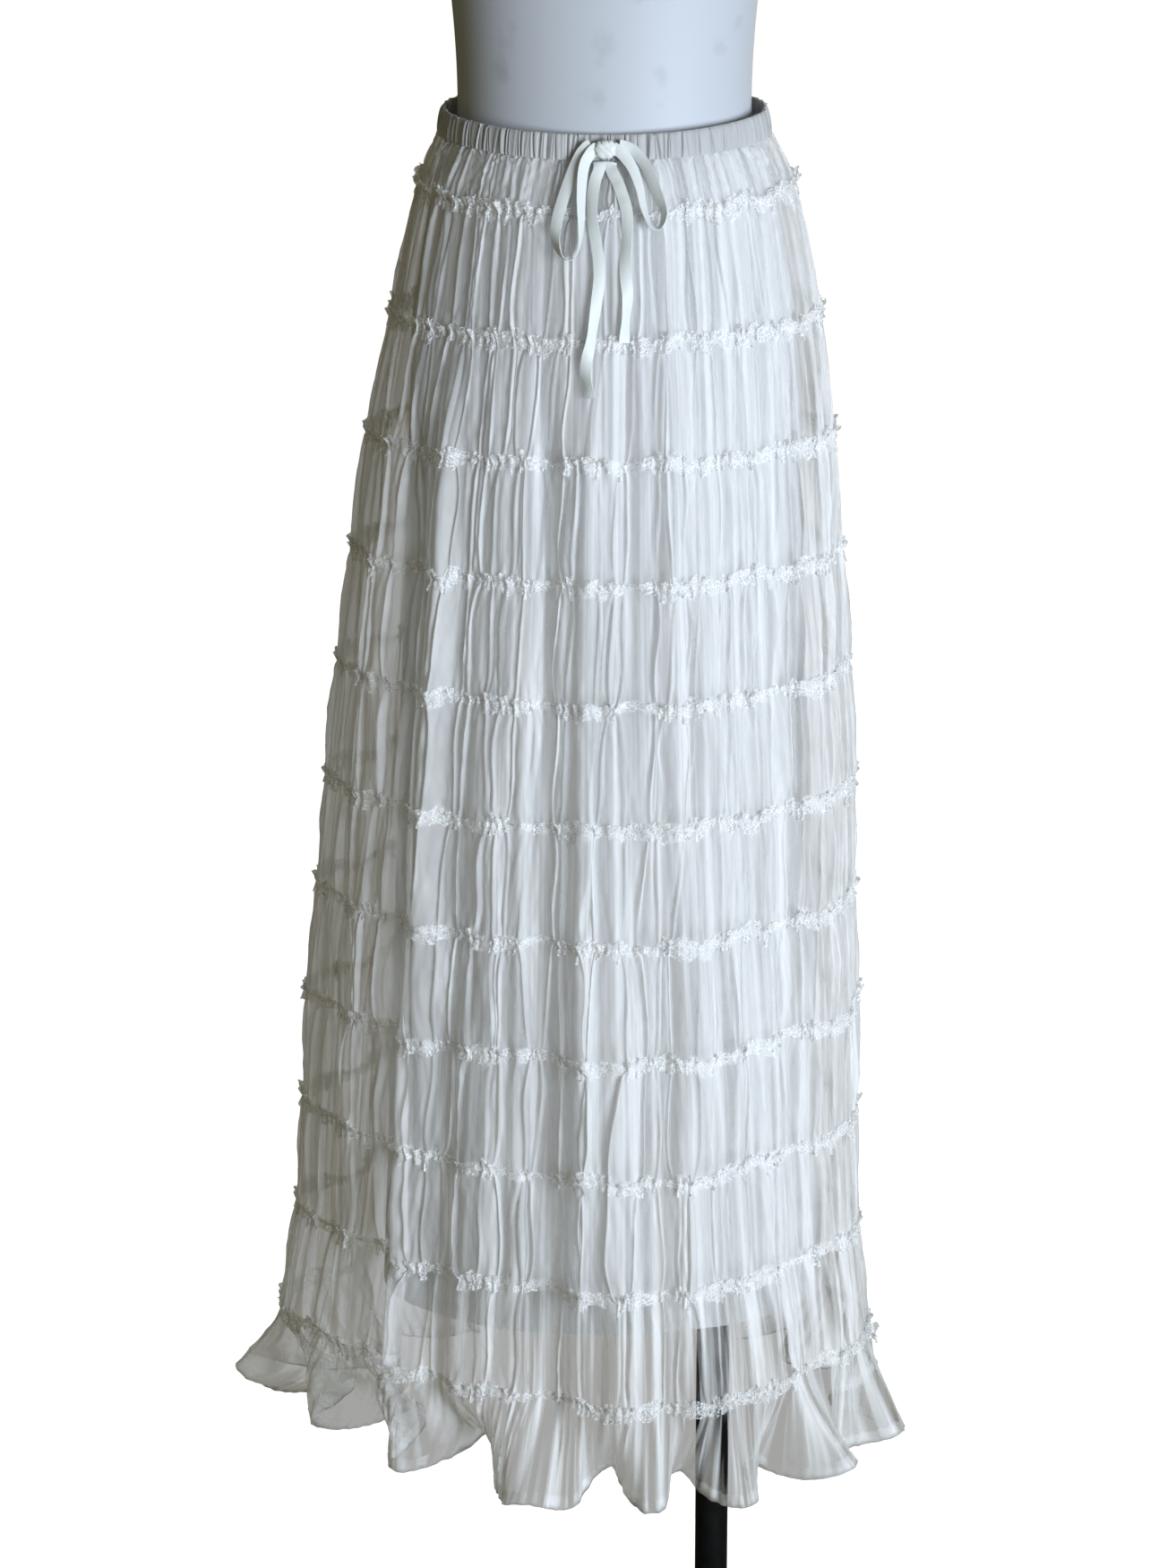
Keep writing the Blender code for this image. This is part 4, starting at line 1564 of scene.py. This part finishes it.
@dataclass
class Waistband:
    """The gathered elastic casing at the waist.

    Each unevenness is its strength and how many waves of it go into a round. The pucker shares say how strongly the
    cloth puckers on the outside, over the top edge and inside.
    """

    shape: SkirtShape
    gathers: Gathers
    material: bpy.types.Material
    around: int = 1200
    top: float = -0.0088
    bottom: float = 0.0090
    wall: float = 3.0 * MM
    stands: float = 1.2 * MM
    bulge: float = 0.9 * MM
    edge_inside: float = 0.6 * MM
    edge_rises: float = 1.0 * MM
    rows: tuple[int, int, int] = (10, 4, 4)
    pucker_shares: Triple = (0.55, 0.6, 0.3)
    puckers_swell: tuple[float, float] = (0.45, 0.6)
    puckers: int = 112
    pucker_depth: float = 3.4 * MM
    pucker_sharpness: float = 0.5
    pucker_middle: float = 0.75
    uneven_places: tuple[float, int] = (3.2, 50)
    uneven_depth: tuple[float, int] = (0.45, 45)
    mean_depth: float = 0.8
    depth_limits: tuple[float, float] = (0.2, 1.4)
    crumples: tuple[float, int] = (0.35 * MM, 260)
    twists: tuple[float, int] = (1.1, 55)
    fullness: float = 1.32
    strip: float = 0.044

    def section(self) -> list[Triple]:
        """The casing's cut through its wall, from its lower edge up the outside, over the top and down the inside.

        Returns:
            Rows of drop, how far inside the outer face, and how strongly the cloth puckers there.
        """
        outside, over, within = self.rows
        middle, half = (self.top + self.bottom) / 2, (self.bottom - self.top) / 2
        rows = []
        for step in range(outside + 1):
            turn = math.pi * step / outside
            pucker = self.pucker_shares[0] + self.puckers_swell[0] * math.sin(turn) ** self.puckers_swell[1]
            rows.append((middle + half * math.cos(turn), self.edge_inside - self.bulge * math.sin(turn), pucker))
        for share in np.arange(1, over) / over:
            inside = mix(self.edge_inside, self.wall, eased(share))
            rows.append((self.top - self.edge_rises * math.sin(math.pi * share), inside, self.pucker_shares[1]))
        for share in np.arange(within + 1) / within:
            rows.append((mix(self.top, self.bottom, share), self.wall, self.pucker_shares[2]))
        return rows

    def build(self) -> bpy.types.Object:
        """Makes the casing.

        Returns:
            The piece.
        """
        cloth = np.arange(self.around) / self.around

        def uneven(setting: tuple[float, int], key: NoiseKey, waves: int = 7) -> Array:
            """An unevenness round the casing."""
            return setting[0] * self.gathers.noise(cloth, key, setting[1], waves)

        phase = TAU * self.puckers * cloth + uneven(self.uneven_places, NoiseKey.PUCKER_PLACES)
        depth = np.clip(self.mean_depth + uneven(self.uneven_depth, NoiseKey.PUCKER_SIZES), *self.depth_limits)
        pucker = np.abs(np.sin(phase / 2)) ** self.pucker_sharpness - self.pucker_middle
        ribs = pucker * depth * self.pucker_depth
        ribs += uneven(self.crumples, NoiseKey.CASING_CRUMPLES, self.gathers.fine_waves)
        twist = uneven(self.twists, NoiseKey.CASING_TWIST)
        rows = []
        for drop, inside, strength in self.section():
            lean = twist * (drop - self.bottom) / (self.top - self.bottom)
            base = self.shape.level_round(self.shape.azimuths_along(drop, cloth) + lean, drop)
            out, _ = outward(base)
            rows.append(base + out * (self.stands - inside + ribs * strength)[:, None])
        piece = round_grids("waistband_cloth", [np.array(rows)], self.material)
        dress_piece(piece, "waistband")
        width = self.shape.round_length(0.0) * self.fullness
        return piece


@dataclass
class InnerLining:
    """The plain lining, seen only by its lower edge."""

    shape: SkirtShape
    material: bpy.types.Material
    seed: int = 5
    end: float = 0.925
    around: int = 240
    down: int = 60
    inside: float = 1.0 * MM
    wave: float = 1.6 * MM
    waves: int = 9
    slant: float = 1.04

    def reach(self, azimuth: Array, drop: float) -> Array:
        """The lining's reach at a drop, in metres."""
        table = np.array(LINING)
        front, side, back = (np.interp(drop / MM, table[:, 0], table[:, column]) * MM for column in (1, 2, 3))
        return squared_reach(azimuth, side, front, back)

    def build(self) -> bpy.types.Object:
        """Makes the lining.

        Returns:
            The piece.
        """
        cloth = np.arange(self.around) / self.around
        azimuth = -180 + 360 * cloth
        soft = ring_noise(cloth, np.random.default_rng(self.seed), self.waves)
        top = LINING[0][0] * MM
        rows = []
        for share in np.arange(self.down + 1) / self.down:
            drop = mix(top, self.end, share)
            reach = self.reach(azimuth, drop) - self.inside + soft * self.wave * share
            rows.append(self.shape.points(azimuth, reach, self.shape.height(azimuth, drop)))
        piece = round_grids("lining_cloth", [np.array(rows)], self.material)
        dress_piece(piece, "lining")
        return piece


@dataclass(frozen=True)
class Ribbon:
    """One loop or tail of the bow."""

    node: str
    route: tuple[tuple[float, float, float, float], ...]
    end: RibbonEnd
    steps: int = 72
    smoothing: int = 4
    width: float = 0.0086
    thickness: float = 0.5 * MM
    camber: float = 0.5 * MM
    lanes: int = 7
    selvage: float = 0.12 * MM
    selvage_from: float = 0.4
    sharp: float = 50.0
    looks_aside: float = 5.0 * MM
    looks_from: float = -1.0

    def centreline(self, shape: SkirtShape, cloth: BVHTree) -> tuple[Array, Array]:
        """The ribbon's middle line, laid off the cloth.

        Args:
            shape: The skirt's large form.
            cloth: The cloth that it hangs in front of.

        Returns:
            Its points, and its turns in radians.
        """
        laid = smooth_rows(self.route, self.steps)
        across = shape.waist_x + laid[:, 0] * MM
        heights = shape.waist_height - laid[:, 1] * MM
        depths = []
        for x, z in zip(across, heights):
            sides = (x - self.looks_aside, x, x + self.looks_aside)
            hits = [cloth.ray_cast(Vector((side, self.looks_from, z)), Vector((0, 1, 0)))[0] for side in sides]
            depths.append(max(-hit.y for hit in hits if hit is not None))
        window = np.ones(2 * self.smoothing + 1) / (2 * self.smoothing + 1)
        smooth = np.convolve(np.pad(depths, self.smoothing, mode="edge"), window, mode="valid")
        points = np.stack([across, -(smooth + laid[:, 2] * MM), heights], axis=1)
        return points, np.radians(laid[:, 3])

    def build(self, shape: SkirtShape, cloth: BVHTree, material: bpy.types.Material) -> bpy.types.Object:
        """Makes the ribbon.

        Args:
            shape: The skirt's large form.
            cloth: The cloth that it hangs in front of.
            material: Its finish.

        Returns:
            The piece.
        """
        centres, turns = self.centreline(shape, cloth)
        ahead = np.gradient(centres, axis=0)
        ahead /= np.linalg.norm(ahead, axis=1)[:, None]
        level = np.cross(ahead, np.array([0.0, -1.0, 0.0]))
        level /= np.linalg.norm(level, axis=1)[:, None]
        wide = level * np.cos(turns)[:, None] + np.cross(ahead, level) * np.sin(turns)[:, None]
        thick = np.cross(wide, ahead)
        lanes = np.linspace(-0.5, 0.5, self.lanes)
        outline = [(lane, 0.5) for lane in lanes] + [(lane, -0.5) for lane in lanes[::-1]]
        rows = np.empty((self.steps, len(outline), 3))
        for corner, (lane, side) in enumerate(outline):
            selvage = self.selvage if abs(lane) > self.selvage_from else 0.0
            rise = side * (self.thickness + selvage) + self.camber * (1 - (2 * lane) ** 2)
            rows[:, corner] = centres + wide * (lane * self.width) + thick * rise
        piece = strip_grid(f"{self.node}_ribbon", rows, material)
        piece.data.set_sharp_from_angle(angle=math.radians(self.sharp))
        dress_piece(piece, self.node)
        return piece


@dataclass
class Bow:
    """The ribbon bow: its knot, two loops and two tails.

    Behind it hang the casing, the yoke, the upper tiers and their frills. The knot's wrap and its cross folds are
    given by how fast they turn across the knot and up it.
    """

    shape: SkirtShape
    cloth: BVHTree
    material: bpy.types.Material
    tiers_behind: int = 4
    frills_behind: int = 3
    knot_size: Triple = (0.0165, 0.0090, 0.0140)
    knot_around: int = 64
    knot_rounds: int = 33
    knot_boxiness: float = 0.72
    wrap: tuple[float, float] = (9.0, 5.5)
    wrap_bend: tuple[float, float] = (1.2, 3.0)
    cross_folds: tuple[float, float] = (-4.0, 7.0)
    crease_depths: tuple[float, float] = (0.10, 0.05)

    def knot(self) -> bpy.types.Object:
        """The knot, a puffed wrap of ribbon with a few creases.

        Returns:
            The piece.
        """
        low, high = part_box("bow_knot")
        centre = np.array((low + high) / 2)
        turn = TAU * np.arange(self.knot_around) / self.knot_around
        rows = []
        for tip in math.pi * (np.arange(self.knot_rounds) + 0.5) / self.knot_rounds:
            flat = np.stack([np.sin(turn) * math.sin(tip), -np.cos(turn) * math.sin(tip)], axis=1)
            ring = np.column_stack([flat, np.full(self.knot_around, math.cos(tip))])
            puffed = np.sign(ring) * np.abs(ring) ** self.knot_boxiness
            across, up = puffed[:, 0], puffed[:, 2]
            bend = self.wrap_bend[0] * np.sin(self.wrap_bend[1] * up)
            wrap = np.sin(self.wrap[0] * across + self.wrap[1] * up + bend)
            folds = np.sin(self.cross_folds[0] * across + self.cross_folds[1] * up)
            wrapped, crossed = self.crease_depths
            creased = wrapped * np.maximum(wrap, 0) ** 3 + crossed * np.maximum(folds, 0)
            rows.append(centre + puffed * (1 - creased)[:, None] * np.array(self.knot_size) / 2)
        piece = strip_grid("bow_knot_ribbon", np.array(rows), self.material)
        return dress_piece(piece, "bow_knot")

    def build(self) -> list[bpy.types.Object]:
        """Makes the bow.

        Returns:
            The knot and the four ribbons.
        """
        ribbons = (
            Ribbon("bow_loop_left", BOW_LOOP_LEFT, RibbonEnd.BACK_IN_KNOT),
            Ribbon("bow_loop_right", BOW_LOOP_RIGHT, RibbonEnd.BACK_IN_KNOT),
            Ribbon("bow_tail_left", BOW_TAIL_LEFT, RibbonEnd.CUT),
            Ribbon("bow_tail_right", BOW_TAIL_RIGHT, RibbonEnd.CUT),
        )
        return [self.knot(), *(ribbon.build(self.shape, self.cloth, self.material) for ribbon in ribbons)]


# ---------------------------------------------------------------------------------------------------------------
# The form and its stand
# ---------------------------------------------------------------------------------------------------------------


@dataclass
class DressForm:
    """The limbless form that wears the skirt."""

    shape: SkirtShape
    material: bpy.types.Material
    around: int = 96
    rounds: int = 90
    foot_sizes: tuple[float, float] = (0.90, 0.97)
    cap_sizes: tuple[float, float] = (0.95, 0.80)
    cap_drop: float = 1.6 * MM
    neck_leans: float = 0.012
    lean_starts: float = 0.044

    def build(self) -> bpy.types.Object:
        """Makes the form.

        Returns:
            The piece.
        """
        table = smooth_rows(FORM_ROUNDS, self.rounds) * MM
        last, top = self.rounds - 1, FORM_ROUNDS[-1][0] * MM
        azimuth = 360 * np.arange(self.around) / self.around
        ends = [
            *((0, size, 0.0) for size in self.foot_sizes),
            *((row, 1.0, 0.0) for row in range(last)),
            (last, 1.0, self.cap_drop),
            *((last, size, 0.0) for size in self.cap_sizes),
        ]
        rows = []
        for row, size, lower in ends:
            above, half_width, front, back = table[row]
            reach = squared_reach(azimuth, half_width * size, front * size, back * size)
            points = self.shape.points(azimuth, reach, self.shape.waist_height + above - lower)
            points[:, 1] += self.neck_leans * max(0.0, (above - self.lean_starts) / (top - self.lean_starts))
            rows.append(points)
        piece = strip_grid("dress_form_shell", np.array(rows)[::-1], self.material)
        return dress_piece(piece, "dress_form")


@dataclass
class Stand:
    """The pole, its collar and hub, and the round base."""

    material: bpy.types.Material
    sleeve_edge: float = 1.2 * MM
    sleeve_corner: float = 0.3
    sleeve_play: float = 0.3 * MM
    base_edge: float = 2.0 * MM
    base_edge_rows: int = 4
    base_foot: float = 0.4 * MM
    base_middle: float = 1.0 * MM

    def radius_and_heights(self, node: str) -> Triple:
        """A solid's radius and the heights of its two ends, the lower one first."""
        low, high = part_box(node)
        return (high.x - low.x) / 2, low.z, high.z

    def sleeve(self, node: str) -> bpy.types.Object:
        """A ring round the pole, with softened edges.

        Args:
            node: The solid that it stands for.

        Returns:
            The piece.
        """
        outer, low, high = self.radius_and_heights(node)
        inner = self.radius_and_heights("stand_pole")[0] + self.sleeve_play
        soft = self.sleeve_edge
        corner = self.sleeve_corner * soft
        profile = [
            (inner, high),
            (outer - soft, high),
            (outer - corner, high - corner),
            (outer, high - soft),
            (outer, low + soft),
            (outer - soft, low),
            (inner, low),
            (inner, high),
        ]
        return dress_piece(turned(f"{node}_ring", profile, self.material), node)

    def build(self) -> list[bpy.types.Object]:
        """Makes the stand.

        Returns:
            Its pieces.
        """
        radius, low, high = self.radius_and_heights("stand_pole")
        pole = turned("stand_pole_tube", [(radius, high), (radius, low)], self.material)
        dress_piece(pole, "stand_pole")
        radius, low, high = self.radius_and_heights("stand_base")
        edge = self.base_edge
        profile = [(self.base_middle, high), (radius - edge, high)]
        for step in range(1, self.base_edge_rows + 1):
            turn = math.pi / 2 * step / self.base_edge_rows
            profile.append((radius - edge + edge * math.sin(turn), high - edge + edge * math.cos(turn)))
        profile += [(radius, low + self.base_foot), (radius - self.base_foot, low), (self.base_middle, low)]
        base = dress_piece(turned("stand_base_plate", profile, self.material), "stand_base")
        return [pole, base, self.sleeve("stand_hub"), self.sleeve("stand_collar")]


# ---------------------------------------------------------------------------------------------------------------
# The studio
# ---------------------------------------------------------------------------------------------------------------


@dataclass(frozen=True)
class Softbox:
    """A large square light that looks at the middle of the skirt.

    Its azimuth and elevation are in degrees as seen from there, its distance and its side in metres, its power in
    watts.
    """

    name: str
    azimuth: float
    elevation: float
    distance: float
    side: float
    power: float
    colour: Triple

    def build(self, aim: Vector) -> bpy.types.Object:
        """Makes the light.

        Args:
            aim: The middle of the skirt.

        Returns:
            The light.
        """
        data = bpy.data.lights.new(self.name, "AREA")
        data.shape = "SQUARE"
        data.size = self.side
        data.energy = self.power
        data.color = self.colour
        light = bpy.data.objects.new(self.name, data)
        bpy.context.scene.collection.objects.link(light)
        turn, lift = math.radians(self.azimuth), math.radians(self.elevation)
        away = Vector((math.sin(turn) * math.cos(lift), -math.cos(turn) * math.cos(lift), math.sin(lift)))
        light.location = aim + away * self.distance
        light.rotation_mode = "QUATERNION"
        light.rotation_quaternion = away.to_track_quat("Z", "Y")
        return light


LIGHTS = (
    Softbox("window_light", 36, 6, 3.2, 1.5, 150.0, (0.79, 0.885, 1.0)),
    Softbox("front_fill", 4, 18, 4.5, 2.0, 13.0, (0.93, 0.965, 1.0)),
    Softbox("back_fill", 150, 12, 3.6, 2.4, 22.0, (1.0, 0.96, 0.86)),
)


@dataclass
class Studio:
    """A pale room, a large soft light to the front right, two weak ones, and the camera."""

    shape: SkirtShape
    photo_size: tuple[int, int] = (1313, 1750)
    focal_pixels: float = 4600.0
    sensor: float = 36.0
    camera_aside: float = -0.0124
    camera_back: float = -3.1
    camera_above_waist: float = 0.4235
    pitch: float = 16.77
    aim_drop: float = 0.45
    floor_colour: Triple = (0.80, 0.80, 0.80)
    floor_glow: float = 0.96
    # The dim glow that shows through sheer cloth is painted shade of the skirt's inside.
    painted_shade_behind_cloth: float = 0.37
    painted_shade_behind_cloth_colour: Triple = (1.0, 1.0, 0.98)
    room_reach: float = 40.0
    room_colour: Triple = (1.0, 0.885, 0.45)
    room_glow: float = 0.110

    def camera(self) -> bpy.types.Object:
        """Makes the camera at the photograph's viewpoint.

        Returns:
            The camera.
        """
        data = bpy.data.cameras.new("photo_camera")
        data.sensor_fit = "AUTO"
        data.sensor_width = self.sensor
        data.lens = self.focal_pixels / max(self.photo_size) * self.sensor
        camera = bpy.data.objects.new("photo_camera", data)
        bpy.context.scene.collection.objects.link(camera)
        aside = self.shape.waist_x + self.camera_aside
        camera.location = (aside, self.camera_back, self.shape.waist_height + self.camera_above_waist)
        camera.rotation_euler = (math.radians(90 - self.pitch), 0, 0)
        bpy.context.scene.camera = camera
        return camera

    def floor_finish(self) -> bpy.types.Material:
        """A white glow over matt paint; where sheer cloth hangs before it, a dim grey glow instead, painted shade of
        the skirt's inside.
        """
        sheet = NodeSheet("studio_floor")
        matt = sheet.add("BsdfDiffuse", {"Color": (*self.floor_colour, 1)}).outputs[0]
        glow = sheet.add("Emission", {"Color": (1.0, 1.0, 1.0, 1), "Strength": self.floor_glow}).outputs[0]
        lit = sheet.add("AddShader", {0: matt, 1: glow}).outputs[0]
        # Seen through cloth, the floor shows a dim grey glow: painted shade of the skirt's inside.
        behind = {"Color": (*self.painted_shade_behind_cloth_colour, 1), "Strength": self.painted_shade_behind_cloth}
        layers = sheet.ranged(sheet.add("LightPath").outputs["Transparent Depth"], 0.0, 1.0)
        return sheet.shown(sheet.mixed(layers, lit, sheet.add("Emission", behind).outputs[0]))

    def floor(self) -> bpy.types.Object:
        """Makes the pale floor and the walls far behind it.

        Returns:
            Both as one object, marked as stage.
        """
        half = self.room_reach
        corners = [(-half, -half), (half, -half), (half, half), (-half, half)]
        points = np.array([(x, y, z) for z in (0.0, half) for x, y in corners])
        walls = [[side, (side + 1) % 4, (side + 1) % 4 + 4, side + 4] for side in range(4)]
        floor = mesh_object("studio_floor", points, [[0, 1, 2, 3], *walls], self.floor_finish())
        floor.visible_diffuse = False
        floor.visible_glossy = False
        floor.visible_transmission = False
        floor.visible_shadow = False
        return floor

    def sky(self) -> None:
        """Sets the dim warm light of the room, which fills the shade."""
        world = bpy.data.worlds.new("studio_room")
        bpy.context.scene.world = world
        world.use_nodes = True
        background = world.node_tree.nodes["Background"]
        background.inputs["Color"].default_value = (*self.room_colour, 1)
        background.inputs["Strength"].default_value = self.room_glow

    def build(self) -> None:
        """Makes the floor, the lights and the room's fill."""
        self.floor()
        self.sky()
        aim = Vector((self.shape.waist_x, 0, self.shape.waist_height - self.aim_drop))
        for light in LIGHTS:
            light.build(aim)
        view = bpy.context.scene.view_settings
        view.view_transform = "Standard"
        view.look = "None"


def cloth_tree(pieces: list[bpy.types.Object]) -> BVHTree:
    """A search tree of pieces' faces, for laying things on them.

    Args:
        pieces: Mesh pieces whose objects aren't moved.

    Returns:
        The tree.
    """
    points, faces = [], []
    for piece in pieces:
        start = len(points)
        points += [vertex.co.copy() for vertex in piece.data.vertices]
        faces += [[start + corner for corner in face.vertices] for face in piece.data.polygons]
    return BVHTree.FromPolygons(points, faces)


def main() -> None:
    """Builds the studio and the dressed part around the frame."""
    logging.basicConfig(level=logging.INFO, format="%(message)s")
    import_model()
    shape = SkirtShape()
    studio = Studio(shape)
    studio.camera()

    tier_chiffon = TIER_CHIFFON.material()
    loose_chiffon = LOOSE_CHIFFON.material()
    lowest_chiffon = LOWEST_CHIFFON.material()
    frill_chiffon = FRILL_CHIFFON.material()
    casing_chiffon_painted_shade = CASING_CHIFFON_PAINTED_SHADE.material()
    satin = SatinRibbon().material()
    plan = FoldPlan(shape)
    gathers = Gathers()

    band = Waistband(shape, gathers, casing_chiffon_painted_shade).build()
    gathered = GatheredTiers(shape, plan, gathers, tier_chiffon, lowest_chiffon)
    tiers = gathered.build()
    frills = SeamFrills(shape, gathered, frill_chiffon).build()
    HemFlounce(shape, plan, gathers, loose_chiffon).build()
    InnerLining(shape, PlainLining().material()).build()
    front = cloth_tree([band, *tiers[: Bow.tiers_behind], *frills[: Bow.frills_behind]])
    Bow(shape, front, satin).build()
    DressForm(shape, FormShell().material()).build()
    Stand(BlackSteel().material()).build()
    studio.build()


if __name__ == "__main__":
    main()
